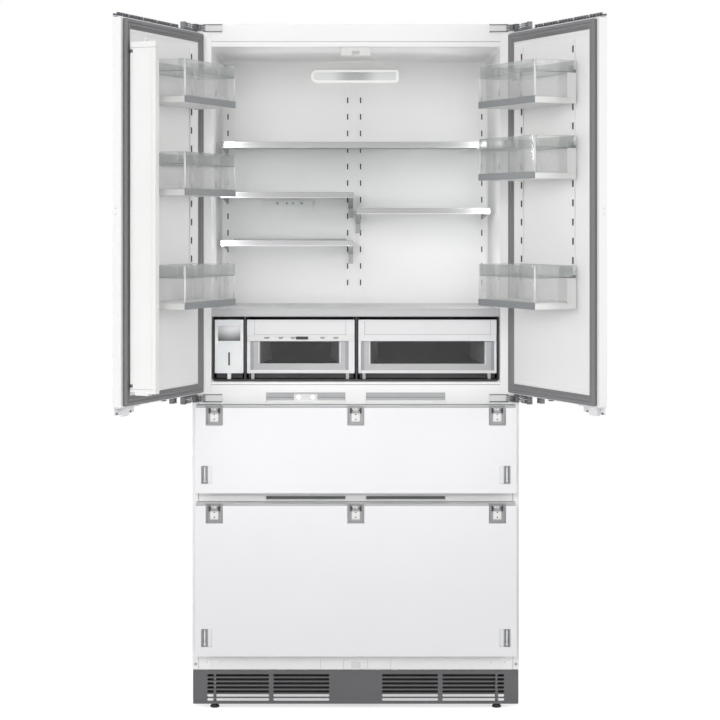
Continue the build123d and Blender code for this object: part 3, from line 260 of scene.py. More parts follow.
def skinMaterial(skin):
    start = (skin["name"], skin["colours"][0], skin["roughness"][0], skin.get("metallic", 0.0))
    material, tree, shader, place = plainMaterial(*start)
    sockets = {
        "coat": ("Coat Weight", "Coat Roughness"),
        "scatter": ("Subsurface Weight", "Subsurface Scale"),
    }
    for key, pair in sockets.items():
        for socket, value in zip(pair, skin.get(key, ())):
            shader.inputs[socket].default_value = value
    addMottle(tree, shader, place, skin)
    addGrain(tree, shader, place, skin["grain"], *skin["relief"])
    return material


# Bright zinc plate of screws, clips and slides: brushed along Z, streaks 1 mm wide and 33 mm long.
def zincPlate():
    material, tree, shader, place = plainMaterial("zinc_plated_steel", "#B9BBBD", 0.3, metallic=1.0)
    stretched = addNode(tree, "ShaderNodeMapping", None, {"Vector": place, "Scale": (900.0, 900.0, 30.0)})
    inputs = {"Vector": stretched.outputs[0], "Scale": 1.0, "Detail": 3.0}
    streaks = addNode(tree, "ShaderNodeTexNoise", None, inputs).outputs["Fac"]
    inputs = {"Value": streaks, "To Min": 0.22, "To Max": 0.42}
    addNode(tree, "ShaderNodeMapRange", None, inputs, shader.inputs["Roughness"])
    inputs = {0: streaks, 6: hexColour("#A7A9AC"), 7: hexColour("#C6C8CA")}
    addNode(tree, "ShaderNodeMix", colourMix, inputs, shader.inputs["Base Color"], 2)
    return material


# Galvanised sheet: grey crystals of zinc, each a little brighter or duller, 11 mm across.
def galvanisedSteel():
    material, tree, shader, place = plainMaterial("galvanised_steel", "#A6A9AB", 0.4, metallic=1.0)
    inputs = {"Vector": place, "Scale": patternScale(11.11)}
    crystals = addNode(tree, "ShaderNodeTexVoronoi", {"feature": "F1"}, inputs)
    tone = addNode(tree, "ShaderNodeSeparateColor", None, {"Color": crystals.outputs["Color"]}).outputs
    inputs = {0: tone[0], 6: hexColour("#93969A"), 7: hexColour("#B4B7B9")}
    addNode(tree, "ShaderNodeMix", colourMix, inputs, shader.inputs["Base Color"], 2)
    inputs = {"Value": tone[1], "To Min": 0.32, "To Max": 0.5}
    addNode(tree, "ShaderNodeMapRange", None, inputs, shader.inputs["Roughness"])
    return material


# Mill-finish aluminium of the fins: its gloss comes and goes with the rolling.
def finAluminium():
    material, tree, shader, place = plainMaterial("mill_finish_aluminium", "#C3C5C7", 0.35, metallic=1.0)
    inputs = {"Vector": place, "Scale": patternScale(4.55)}
    rolling = addNode(tree, "ShaderNodeTexNoise", None, inputs).outputs["Fac"]
    inputs = {"Value": rolling, "To Min": 0.3, "To Max": 0.45}
    addNode(tree, "ShaderNodeMapRange", None, inputs, shader.inputs["Roughness"])
    return material


# Copper refrigerant pipe, slightly tarnished.
def copperPipe():
    material, tree, shader, place = plainMaterial("copper_pipe", "#B8734A", 0.35, metallic=1.0)
    inputs = {"Vector": place, "Scale": patternScale(16.7), "Detail": 4.0}
    tarnish = addNode(tree, "ShaderNodeTexNoise", None, inputs).outputs["Fac"]
    inputs = {0: tarnish, 6: hexColour("#8E5638"), 7: hexColour("#C98459")}
    addNode(tree, "ShaderNodeMix", colourMix, inputs, shader.inputs["Base Color"], 2)
    return material


# Clear SAN of the bins: water-clear face on, and glassier where a wall turns away from the eye.
def clearSan(name="clear_san", colour="#F9FAFA", least=0.13, most=0.85):
    material, tree, shader, place = plainMaterial(name, colour, 0.06, IOR=1.45, Transmission_Weight=0.9)
    facing = addNode(tree, "ShaderNodeLayerWeight", None, {"Blend": 0.35}).outputs["Facing"]
    inputs = {"Value": facing, "To Min": least, "To Max": most}
    addNode(tree, "ShaderNodeMapRange", None, inputs, shader.inputs["Alpha"])
    addGrain(tree, shader, place, 45.5, 0.08, 2.0, 1.0)
    return material


# Smoked, lightly frosted SAN: what lies behind it is seen soft and grey.
def smokedSan():
    glassy = {"IOR": 1.5, "Transmission_Weight": 0.8}
    material, tree, shader, place = plainMaterial("smoked_san", "#C9CBCE", 0.22, **glassy)
    addGrain(tree, shader, place, 0.83, 0.2, 0.4)
    return material


# Fades between two colours along one axis of the object, from a place to another in metres.
def addFade(tree, shader, distance, fromTo, colours):
    inputs = {"Value": distance, "From Min": fromTo[0], "From Max": fromTo[1]}
    share = addNode(tree, "ShaderNodeMapRange", {"interpolation_type": "SMOOTHSTEP"}, inputs).outputs[0]
    inputs = {0: share, 6: hexColour(colours[0]), 7: hexColour(colours[1])}
    addNode(tree, "ShaderNodeMix", colourMix, inputs, shader.inputs["Base Color"], 2)


# Grip of the tank: painted shade, pale at its top and grey at its foot, where the lip turns under.
def gripPaintedShade():
    coat = {"Coat_Weight": 0.1, "Coat_Roughness": 0.25}
    material, tree, shader, place = plainMaterial("grip_abs_painted_shade", "#C4C5C7", 0.4, **coat)
    height = addNode(tree, "ShaderNodeSeparateXYZ", None, {"Vector": place}).outputs["Z"]
    addFade(tree, shader, height, (1.018, 1.06), ("#7F8083", "#F2F2F3"))
    addGrain(tree, shader, place, 0.83, 0.12, 0.3)
    return material


# Edges of the clear bins: near-white, less clear posts down the corners, a painted highlight.
def paintedHighlightEdge():
    glassy = {"IOR": 1.45, "Transmission_Weight": 0.35}
    material, tree, shader, place = plainMaterial("clear_san_painted_highlight", "#FBFCFC", 0.2, **glassy)
    addGrain(tree, shader, place, 16.7, 0.1, 1.0, 1.0)
    return material


# Tempered glass with the green cast of soda lime seen through its edge.
def shelfGlass():
    glassy = {"IOR": 1.5, "Transmission_Weight": 1.0}
    material, tree, shader, place = plainMaterial("tempered_glass", "#EAF3EF", 0.02, **glassy)
    addGrain(tree, shader, place, 200.0, 0.03, 2.0, 1.0)
    return material


# Milky lens over the lamps: it glows a little and scatters, and fine ribs run down it.
def lampLens():
    material, tree, shader, place = plainMaterial("opal_polycarbonate", "#F3F3F1", 0.35)
    shader.inputs["Emission Strength"].default_value = 0.25
    shader.inputs["Emission Color"].default_value = hexColour("#FFFDF6")
    inputs = {"Vector": place, "Scale": patternScale(7.69)}
    ribs = addNode(tree, "ShaderNodeTexWave", {"bands_direction": "X"}, inputs)
    inputs = {"Height": ribs.outputs["Fac"], "Strength": 0.2, "Distance": 0.5 * mm}
    addNode(tree, "ShaderNodeBump", None, inputs, shader.inputs["Normal"])
    return material


# Face of the light panel: pale, with painted shade fading it to grey towards its middle, and a relief of dots 2 mm
# across.
def lightPanelShadedFace():
    coat = {"Coat_Weight": 0.3, "Coat_Roughness": 0.15}
    material, tree, shader, place = plainMaterial("light_panel_painted_shade", "#E9E9EA", 0.3, **coat)
    across = addNode(tree, "ShaderNodeSeparateXYZ", None, {"Vector": place}).outputs["X"]
    side = addNode(tree, "ShaderNodeMath", {"operation": "ABSOLUTE"}, {0: across}).outputs[0]
    addFade(tree, shader, side, (0.015, 0.075), ("#C2C2C4", "#ECECED"))
    inputs = {"Vector": place, "Scale": patternScale(2.0)}
    dots = addNode(tree, "ShaderNodeTexVoronoi", {"feature": "F1"}, inputs)
    inputs = {"Height": dots.outputs["Distance"], "Strength": 0.1, "Distance": 0.2 * mm}
    addNode(tree, "ShaderNodeBump", None, inputs, shader.inputs["Normal"])
    return material


# Rigid polyurethane foam, seen only in a cut: cells of 1.7 mm.
def foam():
    material, tree, shader, place = plainMaterial("polyurethane_foam", "#D9C98F", 0.9)
    inputs = {"Vector": place, "Scale": patternScale(1.67)}
    cells = addNode(tree, "ShaderNodeTexVoronoi", {"feature": "F1"}, inputs)
    inputs = {"Height": cells.outputs["Distance"], "Strength": 0.5, "Distance": 1.0 * mm}
    addNode(tree, "ShaderNodeBump", None, inputs, shader.inputs["Normal"])
    return material


finishes = {finish: skinMaterial(skin) for finish, skin in skins.items()}
finishes.update({
    "zinc": zincPlate(),
    "galvanised": galvanisedSteel(),
    "aluminium": finAluminium(),
    "copper": copperPipe(),
    "clear": clearSan(),
    "clearRim": clearSan("thick_clear_san", "#D4D9D6", 0.36, 0.9),
    "paintedHighlightEdge": paintedHighlightEdge(),
    "smoked": smokedSan(),
    "glass": shelfGlass(),
    "tankGripPaintedShade": gripPaintedShade(),
    "lens": lampLens(),
    "panelPaintedShade": lightPanelShadedFace(),
    "foam": foam(),
})
print("materials are made")

# Mesh helpers. Pieces are modelled in millimetres in the frame's axes, or in a door's own plane,
# and turned into metres when they are finished.


def addBox(bm, xSpan, ySpan, zSpan):
    middle = [(span[0] + span[1]) / 2 for span in (xSpan, ySpan, zSpan)]
    sides = [abs(span[1] - span[0]) for span in (xSpan, ySpan, zSpan)]
    place = Matrix.Translation(middle) @ Matrix.Diagonal((*sides, 1.0))
    return bmesh.ops.create_cube(bm, size=1.0, matrix=place)["verts"]


def addRod(bm, middle, radius, length, axis="z", segments=32, endRadius=None):
    turn = {
        "x": Matrix.Rotation(math.pi / 2, 4, "Y"),
        "y": Matrix.Rotation(-math.pi / 2, 4, "X"),
        "z": Matrix.Identity(4),
    }[axis]
    return bmesh.ops.create_cone(
        bm,
        cap_ends=True,
        segments=segments,
        radius1=radius,
        radius2=radius if endRadius is None else endRadius,
        depth=length,
        matrix=Matrix.Translation(middle) @ turn,
    )["verts"]


def sharpEdges(bm, angle=25.0, convex=True):
    limit = math.radians(angle)
    found = []
    for edge in bm.edges:
        if len(edge.link_faces) == 2 and edge.calc_face_angle(0.0) > limit and edge.is_convex == convex:
            found.append(edge)
    return found


def soften(bm, edges, width, segments=2):
    if edges:
        rounded = bmesh.ops.bevel(
            bm,
            geom=list(edges),
            offset=width,
            segments=segments,
            profile=0.5,
            affect="EDGES",
            clamp_overlap=True,
            material=-1,
        )
        for face in rounded["faces"]:
            face.smooth = True


# Shades narrow strips of curved faces smoothly and leaves flat faces flat.
def shadeCurves(bm, widest=9.0, least=0.01, most=0.6):
    for face in bm.faces:
        bent = any(
            least < edge.calc_face_angle(0.0) < most for edge in face.edges if len(edge.link_faces) == 2
        )
        longest = max(edge.calc_length() for edge in face.edges)
        face.smooth = bent and face.calc_area() < widest * longest


def facesOf(verts):
    return list({face for vert in verts for face in vert.link_faces})


# Rectangular pockets (xSpan, zSpan) sunk into the flat face at a level of Y, with walls and a floor.
def sinkPockets(bm, level, pockets, depth):
    cuts = {(axis, end) for pocket in pockets for axis, span in zip((0, 2), pocket) for end in span}
    for axis, end in sorted(cuts):
        point = [0.0, 0.0, 0.0]
        normal = [0.0, 0.0, 0.0]
        point[axis] = end
        normal[axis] = 1.0
        whole = bm.verts[:] + bm.edges[:] + bm.faces[:]
        bmesh.ops.bisect_plane(bm, geom=whole, dist=0.0001, plane_co=point, plane_no=normal)
    picked = []
    for face in bm.faces:
        middle = face.calc_center_median()
        within = any(x[0] < middle.x < x[1] and z[0] < middle.z < z[1] for x, z in pockets)
        if within and abs(middle.y - level) < 0.01:
            picked.append(face)
    rims = list({edge for face in picked for edge in face.edges})
    moved = bmesh.ops.extrude_face_region(bm, geom=picked + rims)["geom"]
    floor = [part for part in moved if isinstance(part, bmesh.types.BMVert)]
    bmesh.ops.translate(bm, vec=(0.0, depth, 0.0), verts=floor)


# A ring swept round a rectangle, upright in XZ or level in XY: the profile is a list of (inset, depth).
def addSurround(bm, xSpan, zSpan, profile, corner=0.0, steps=6, flat="xz"):
    def ringPoints(inset, depth):
        low = (xSpan[0] + inset, zSpan[0] + inset)
        high = (xSpan[1] - inset, zSpan[1] - inset)
        radius = max(corner - inset, 0.0)
        points = []
        corners = ((high[0], high[1]), (low[0], high[1]), (low[0], low[1]), (high[0], low[1]))
        for quarter, (x, z) in enumerate(corners):
            inwardX = -1 if x == high[0] else 1
            inwardZ = -1 if z == high[1] else 1
            for step in range(steps + 1 if corner > 0 else 1):
                turn = math.radians(90.0 * quarter + 90.0 * step / steps)
                across = x + inwardX * radius + radius * math.cos(turn)
                up = z + inwardZ * radius + radius * math.sin(turn)
                points.append((across, depth, up) if flat == "xz" else (across, up, depth))
        return points

    verts = [bm.verts.new(point) for point in ringPoints(*profile[0])]
    ring = [bm.edges.new((verts[i - 1], verts[i])) for i in range(len(verts))]
    for inset, depth in profile[1:]:
        grown = bmesh.ops.extrude_edge_only(bm, edges=ring)["geom"]
        fresh = {part for part in grown if isinstance(part, bmesh.types.BMVert)}
        others = [[edge.other_vert(vert) for edge in vert.link_edges] for vert in verts]
        verts = [next(other for other in group if other in fresh) for group in others]
        for vert, point in zip(verts, ringPoints(inset, depth)):
            vert.co = point
        edges = [part for part in grown if isinstance(part, bmesh.types.BMEdge)]
        ring = [edge for edge in edges if all(vert in fresh for vert in edge.verts)]
    return ring


# Turns a shape into a piece in metres: its finish, the body it rides, and the CAD node it replaces, if any.
# Its hard edges are rounded by so many millimetres, in so many steps.
def finishPiece(
    bm, name, body, finish, place=None, replaced=None,
    smooth=False, turned=True, rounding=0.0, steps=2,
):
    if rounding:
        soften(bm, sharpEdges(bm), rounding, steps)
    if not smooth:
        shadeCurves(bm)
    bmesh.ops.triangulate(bm, faces=[face for face in bm.faces if len(face.verts) > 4])
    matrix = Matrix.Scale(mm, 4) @ (place or Matrix.Identity(4))
    bmesh.ops.transform(bm, matrix=matrix, verts=bm.verts)
    if turned:
        bmesh.ops.recalc_face_normals(bm, faces=bm.faces)
    mesh = bpy.data.meshes.new(name)
    bm.to_mesh(mesh)
    bm.free()
    mesh.materials.append(finishes[finish])
    piece = bpy.data.objects.new(name, mesh)
    bpy.context.scene.collection.objects.link(piece)
    if smooth:
        for polygon in mesh.polygons:
            polygon.use_smooth = True
        mesh.set_sharp_from_angle(angle=math.radians(35.0))
    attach(piece, body)
    if replaced:
        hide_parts(replaced)
    return piece


# A merged copy of a CAD node's mesh, in millimetres.
def nodeMesh(node):
    bm = bmesh.new()
    bm.from_mesh(nodes[node].data)
    bmesh.ops.scale(bm, vec=(1000.0, 1000.0, 1000.0), verts=bm.verts)
    bmesh.ops.remove_doubles(bm, verts=bm.verts, dist=0.01)
    bmesh.ops.dissolve_limit(bm, angle_limit=math.radians(0.5), verts=bm.verts, edges=bm.edges)
    return bm


# The CAD node again with its hard edges rounded, so that they catch the light.
def softCopy(node, finish, width, segments=2, hollow=0.0):
    bm = nodeMesh(node)
    soften(bm, sharpEdges(bm, convex=False) if hollow else [], hollow, 4)
    soften(bm, sharpEdges(bm), width, segments)
    return finishPiece(bm, node + "Soft", bodyOf[node], finish, None, node, turned=False)


slotOf = {row["node"]: row["material_slot"] for row in frame["record"]["subparts"]}
slotFinish = {
    "galvanised_steel": "galvanised",
    "polyurethane_foam": "foam",
    "grey_liner_plastic": "liner",
    "white_liner_plastic": "whiteLiner",
    "white_painted_steel": "whitePaint",
    "lamp_lens": "lens",
    "grille_plastic": "grille",
    "black_foot_rubber": "rubber",
    "black_painted_steel": "enamel",
    "fin_aluminium": "aluminium",
    "charcoal_plastic": "charcoal",
    "white_moulded_plastic": "whiteAbs",
    "ladder_steel": "zinc",
    "shelf_glass": "glass",
    "shelf_trim": "trim",
    "hinge_steel": "hinge",
    "grey_gasket": "gasket",
    "clear_bin_plastic": "clear",
    "tank_plastic": "smoked",
}
for name, node in nodes.items():
    node.data.materials.clear()
    node.data.materials.append(finishes[slotFinish[slotOf[name]]])

# Hard pieces whose CAD form only needs its edges rounded: the width of the rounding in millimetres.
roundings = {
    "cabinet_shell": 0.5,
    "front_frame": 1.2,
    "base_frame": 0.4,
    "kick_grille": 0.8,
    "control_box": 1.0,
    "drip_tray": 0.8,
    "power_inlet": 0.6,
    "water_valve": 0.8,
    "mullion_guide": 1.0,
    "crisper_cover": 0.8,
    "crisper_housing": 0.6,
    "left_door": 1.5,
    "right_door": 1.5,
}
ownFinish = {"crisper_cover": "coverTrim", "left_door": "doorPaint", "right_door": "doorPaint"}
for name, width in roundings.items():
    softCopy(name, ownFinish.get(name, slotFinish[slotOf[name]]), width)
print("plain pieces are rounded")

# Door planes: X runs from the hinge pin to the free edge, Y to the door's inner side, in millimetres.
doorTurn = {-1: math.radians(113.0), 1: math.radians(115.5)}
joints = {joint["name"]: joint for joint in frame["joints"]}


def doorPlace(side, hand):
    pin = joints[side + "_door_hinge"]["pos_m"]
    along = Vector((-hand * math.cos(doorTurn[hand]), -math.sin(doorTurn[hand]), 0.0))
    inward = Vector((-hand * math.sin(doorTurn[hand]), math.cos(doorTurn[hand]), 0.0))
    place = Matrix((along, inward, Vector((0.0, 0.0, 1.0)))).transposed().to_4x4()
    place.translation = (pin[0] * 1000.0, pin[1] * 1000.0, 0.0)
    return place


# The limits of a CAD node along X, Y and Z, in a plane's own millimetres.
def spans(node, place=None):
    back = (place or Matrix.Identity(4)).inverted()
    points = [back @ (vert.co * 1000.0) for vert in nodes[node].data.vertices]
    return [(min(point[i] for point in points), max(point[i] for point in points)) for i in range(3)]


# Cross-recessed pan-head screws: each is (x, y, z) of the seat, all facing -Y.
def addScrews(bm, seats, radius=3.0, rise=1.2):
    for x, y, z in seats:
        addRod(bm, (x, y - rise / 2, z), radius, rise, "y", 20, radius * 0.72)
        deep = (y - rise - 0.05, y - rise + 0.3)
        addBox(bm, (x - radius * 0.55, x + radius * 0.55), deep, (z - 0.35, z + 0.35))
        addBox(bm, (x - 0.35, x + 0.35), deep, (z - radius * 0.55, z + radius * 0.55))


sealSection = (
    (0.0, 0.0), (0.0, 8.0), (1.2, 10.6), (3.0, 11.5), (8.6, 11.5), (9.6, 9.5), (11.2, 9.5), (12.2, 11.3),
    (17.0, 11.3), (18.2, 8.8), (20.0, 8.4), (21.2, 6.4), (23.0, 6.2), (25.0, 4.8), (25.0, 0.0), (0.0, 0.0),
)
linerBead = ((0.0, 0.0), (0.0, 4.2), (1.4, 5.9), (4.0, 6.6), (9.0, 6.6), (11.5, 6.0), (11.5, 0.0), (0.0, 0.0))
ladder = {
    "pitch": 50.0, "slotHeight": 18.0, "slotWidth": 8.0, "width": 12.0, "rise": 4.0, "sunk": 3.6, "end": 20.0,
}
binStyle = {
    "wall": 3.0, "corner": 7.0, "baseHeight": 16.0, "rimDrop": 30.0, "trimHeight": 18.0,
    "bandHeight": 14.0, "bandWidth": 26.0, "bandTop": 80.0, "endBlock": 12.0, "post": 2.6,
    "blockLevels": {"left": (-0.2, 20.0), "right": (80.2, 88.0)},
}


# A seal or bead swept round a door or a drawer, standing on its inner face.
def addSweep(bm, xSpan, foot, zSpan, section, corner):
    addSurround(bm, xSpan, zSpan, [(inset, foot + depth) for inset, depth in section], corner)
    bmesh.ops.remove_doubles(bm, verts=bm.verts, dist=0.001)


def doorSeal(side, place):
    x, y, z = spans(side + "_door_gasket", place)
    bm = bmesh.new()
    addSweep(bm, x, y[0], z, sealSection, 5.0)
    finishPiece(bm, side + "DoorSeal", side + "_door", "gasket", place, side + "_door_gasket")


def doorLiner(side, place):
    x, y, z = spans(side + "_door_liner", place)
    panel = bmesh.new()
    addBox(panel, x, (y[0], y[1] - ladder["rise"]), z)
    node = side + "_door_liner"
    soften(panel, sharpEdges(panel), 0.8)
    finishPiece(panel, side + "LinerPanel", side + "_door", "whiteLiner", place, node)
    bead = bmesh.new()
    addSweep(bead, x, y[0], z, linerBead, 0.0)
    finishPiece(bead, side + "LinerBead", side + "_door", "whiteLiner", place)
    strips = bmesh.new()
    slotShades = bmesh.new()
    bin = spans(side + "_lower_bin", place)
    foot = bin[2][0] + 8.0
    steps = int((z[1] - z[0]) / ladder["pitch"]) - 1
    middles = (bin[0][0] + 16.0, bin[0][1] - 16.0)
    for middle in middles:
        strip = (middle - ladder["width"] / 2, middle + ladder["width"] / 2)
        addBox(strips, strip, (y[1] - ladder["rise"], y[1]), (foot, z[1] - ladder["end"]))
    soften(strips, sharpEdges(strips), 0.8)
    half = (ladder["slotWidth"] / 2, ladder["slotHeight"] / 2)
    pockets = []
    for middle in middles:
        for step in range(steps + 1):
            level = (z[0] + z[1]) / 2 + (step - steps / 2) * ladder["pitch"]
            if level - ladder["slotHeight"] > foot:
                pockets.append(((middle - half[0], middle + half[0]), (level - half[1], level + half[1])))
    sinkPockets(strips, y[1], pockets, -ladder["sunk"])
    finishPiece(strips, side + "LadderStrips", side + "_door", "whiteLiner", place)
    # Black boxes on the pockets' floors: painted shade inside the slots.
    deep = (y[1] - ladder["sunk"] + 0.1, y[1] - 0.4)
    for across, up in pockets:
        addBox(slotShades, (across[0] + 0.1, across[1] - 0.1), deep, (up[0] + 0.1, up[1] - 0.1))
    finishPiece(slotShades, side + "LadderSlotShade", side + "_door", "rubber", place)


def doorBin(side, node, place):
    x, y, z = spans(node, place)
    style = binStyle
    wall = style["wall"]
    step = z[1] - style["rimDrop"]
    foot = z[0] + style["baseHeight"]
    profiles = {
        "Shell": ((2.2, foot), (2.2, step - 1.7), (wall + 1.8, step - 1.7), (wall + 1.8, foot), (2.2, foot)),
        "Rim": (
            (0.2, step), (0.2, z[1] - 0.9), (0.9, z[1]), (wall - 0.7, z[1]),
            (wall, z[1] - 0.9), (wall, step), (0.2, step),
        ),
        # A thin dark ring under the rim's step: painted shade.
        "RimShadeLine": (
            (0.9, step - 1.6), (0.9, step - 0.1), (wall + 1.2, step - 0.1),
            (wall + 1.2, step - 1.6), (0.9, step - 1.6),
        ),
    }
    rings = (("Shell", "clear", node), ("Rim", "clearRim", None), ("RimShadeLine", "binTrim", None))
    for part, finish, replaced in rings:
        ring = bmesh.new()
        addSurround(ring, x, y, profiles[part], style["corner"], flat="xy")
        bmesh.ops.remove_doubles(ring, verts=ring.verts, dist=0.001)
        finishPiece(ring, node + part, side + "_door", finish, place, replaced)

    # Posts down the four corners of each bin, in near-white: painted highlight.
    posts = bmesh.new()
    for across in (x[0] + 3.4, x[1] - 3.4):
        for along in (y[0] + 3.4, y[1] - 3.4):
            addRod(posts, (across, along, (foot + z[1]) / 2 + 0.1), style["post"], z[1] - foot - 0.6, "z", 16)
    finishPiece(posts, node + "Corners", side + "_door", "paintedHighlightEdge", place)

    base = bmesh.new()
    addBox(base, (x[0] + 2.2, x[1] - 2.2), (y[0] + 0.5, y[1] - 2.2), (z[0] + 4.0, foot - 0.1))
    for outer, toward in ((x[0], 1), (x[1], -1)):
        skin = sorted((outer + toward * 0.1, outer + toward * 2.1))
        addBox(base, skin, (y[0], y[1] - 2.4), (z[0], z[0] + style["bandHeight"]))
        levels = (z[0] + style["bandHeight"], z[0] + style["bandTop"])
        addBox(base, skin, (y[0], y[0] + style["bandWidth"]), levels)
        clip = sorted((outer + toward * 0.1, outer + toward * 9.0))
        addBox(base, clip, (y[0], y[0] + 5.0), (z[1] - 14.0, z[1] - 2.0))
    addBox(base, (x[0] + 2.4, x[1] - 2.4), (y[0] + 3.0, y[1] - 2.4), (z[0] + 1.0, z[0] + 3.9))
    finishPiece(base, node + "Base", side + "_door", "whiteAbs", place, rounding=0.7)

    trim = bmesh.new()
    addBox(trim, (x[0] + 0.2, x[1] - 0.2), (y[1] - 2.2, y[1]), (z[0], z[0] + style["trimHeight"]))
    low, high = style["blockLevels"][side]
    for outer, toward in ((x[0], 1), (x[1], -1)):
        block = sorted((outer - toward * 0.2, outer + toward * 2.4))
        addBox(trim, block, (y[0] + 0.1, y[0] + style["endBlock"]), (z[0] + low, z[0] + high))
    finishPiece(trim, node + "Trim", side + "_door", "binTrim", place, rounding=0.6)


for side, hand in (("left", -1), ("right", 1)):
    place = doorPlace(side, hand)
    doorSeal(side, place)
    doorLiner(side, place)
    for node in ("lower_bin", "middle_bin", "top_bin"):
        doorBin(side, f"{side}_{node}", place)
print("door seals, liners and bins are made")

# Hinges: a leaf with barrel and stacked links on the door, a bearing arm on the cabinet and a white cover.
leaf = {
    "height": 6.0, "end": 70.0, "barrel": 8.0, "gap": 0.3,
    "links": ((24.0, 70.0, 1.6), (20.0, 64.0, 7.0), (28.0, 70.0, 12.4)),  # from, to, lift above the leaf
    "linkThickness": 2.8, "pins": (34.0, 47.0), "stack": 18.0,
}


def doorFittings(side, place):
    slabSpan = spans(side + "_door", place)
    height = leaf["height"]
    barrel = leaf["barrel"]
    stack = leaf["stack"]
    top = slabSpan[2][1] + leaf["gap"]
    bottom = slabSpan[2][0] - leaf["gap"] - height
    ends = ((top + height, 1), (bottom, -1))
    bm = bmesh.new()
    for low in (top, bottom):
        addBox(bm, (0.0, leaf["end"]), (-barrel + 0.2, barrel - 0.2), (low, low + height))
        addRod(bm, (0.0, 0.0, low + height / 2), barrel, height, "z", 40)
        addBox(bm, (14.0, leaf["end"] - 3.0), (-barrel + 2.2, barrel - 2.2), (low - 0.2, low + height + 0.2))
    for low, up in ends:
        for start, end, lift in leaf["links"]:
            level = sorted((low + up * lift, low + up * (lift + leaf["linkThickness"])))
            addBox(bm, (start, end), (-6.4, 6.4), level)
        addBox(bm, (end - 6.0, end), (-7.6, 7.6), sorted((low, low + up * stack)))
    soften(bm, sharpEdges(bm), 0.6)
    if side == "left":
        lugs(bm, place)
    finishPiece(bm, side + "HingeLeaves", side + "_door", "hinge", place, side + "_door_fittings")
    pins = bmesh.new()
    for low, up in ends:
        for seat in leaf["pins"]:
            addRod(pins, (seat, 2.0, low + up * stack / 2), 3.6, stack - 1.0, "z", 24)
            addRod(pins, (seat, 7.2, low + up * stack * 0.55), 4.2, 1.5, "y", 24)
    soften(pins, sharpEdges(pins, 60.0), 0.4)
    finishPiece(pins, side + "HingePins", side + "_door", "zinc", place)

    rail = bmesh.new()
    railX = (88.0, slabSpan[0][1])
    railY = (slabSpan[1][0] + 1.0, slabSpan[1][0] + 15.0)
    foot = slabSpan[2][1] + 0.3
    addBox(rail, railX, (railY[0], railY[0] + 3.0), (foot + 2.6, foot + 8.6))
    pitch = 15.0
    teeth = int((railX[1] - railX[0]) / pitch)
    for tooth in range(teeth):
        start = railX[0] + 1.0 + tooth * pitch
        width = 5.0 if tooth % 5 == 2 else 9.0
        addBox(rail, (start, start + width), (railY[0] + 0.1, railY[0] + 6.0), (foot + 8.7, foot + 13.5))
        addBox(rail, (start + 3.0, start + 6.0), (railY[0] + 3.1, railY[0] + 9.0), (foot + 2.7, foot + 7.0))
    finishPiece(rail, side + "PanelRail", side + "_door", "hinge", place, rounding=0.4)
    sole = bmesh.new()
    addBox(sole, railX, railY, (foot, foot + 2.5))
    soften(sole, sharpEdges(sole), 0.4)
    for seat in (railX[0] + 30.0, sum(railX) / 2, railX[1] - 30.0):
        addRod(sole, (seat, railY[1] - 4.0, foot + 3.4), 3.4, 1.8, "z", 24)
    finishPiece(sole, side + "RailSole", side + "_door", "galvanised", place)
    doorFootBracket(side, place, slabSpan)

    screws = bmesh.new()
    for level in (1387.0, 1372.0):
        addRod(screws, (slabSpan[0][1] - 0.4, 0.0, level), 2.4, 0.8, "x", 20)
    finishPiece(screws, side + "EdgeScrews", side + "_door", "zinc", place)


# Under the door: a pale adjusting bracket by the free edge and a small stop nearer the hinge.
def doorFootBracket(side, place, slabSpan):
    foot = slabSpan[2][0] - 0.3
    free = slabSpan[0][1]
    bracket = bmesh.new()
    addBox(bracket, (free - 104.0, free - 4.0), (-8.0, -5.4), (foot - 20.0, foot))
    addBox(bracket, (free - 104.0, free - 4.0), (-5.3, 12.0), (foot - 2.4, foot))
    addBox(bracket, (free - 60.0, free - 24.0), (-5.3, 6.0), (foot - 24.0, foot - 2.5))
    finishPiece(bracket, side + "FootBracket", side + "_door", "frontGrey", place, rounding=0.5)
    stop = bmesh.new()
    for start in (118.0, 133.0):
        addBox(stop, (start, start + 3.0), (-6.0, 8.0), (foot - 16.0, foot))
    addBox(stop, (121.1, 132.9), (-6.0, 8.0), (foot - 3.0, foot))
    addBox(stop, (172.0, 186.0), (-4.0, 6.0), (foot - 5.0, foot))
    for seat in (free - 84.0, free - 42.0, free - 14.0):
        addBox(stop, (seat - 4.0, seat + 4.0), (-4.8, -4.0), (foot - 19.0, foot - 14.0))
    finishPiece(stop, side + "DoorStop", side + "_door", "hinge", place, rounding=0.5)


# The two lugs that carry the folding bar on the left door.
def lugs(bm, place):
    bar = spans("folding_bar", place)
    liner = spans("left_door_liner", place)
    pin = (bar[0][1] - 7.5, bar[1][0] + 4.0)
    reach = 8.0
    for low in (bar[2][0] + 20.0, bar[2][1] - 12.0 - 28.0):
        addBox(bm, (liner[0][1] - 18.0, pin[0]), (pin[1] - reach, pin[1] + reach), (low, low + 8.0))
        addBox(bm, (liner[0][1] - 18.0, liner[0][1] - 4.0), (21.8, pin[1] - reach), (low, low + 8.0))
        addRod(bm, (pin[0], pin[1], low + 4.0), reach, 8.0, "z", 32)


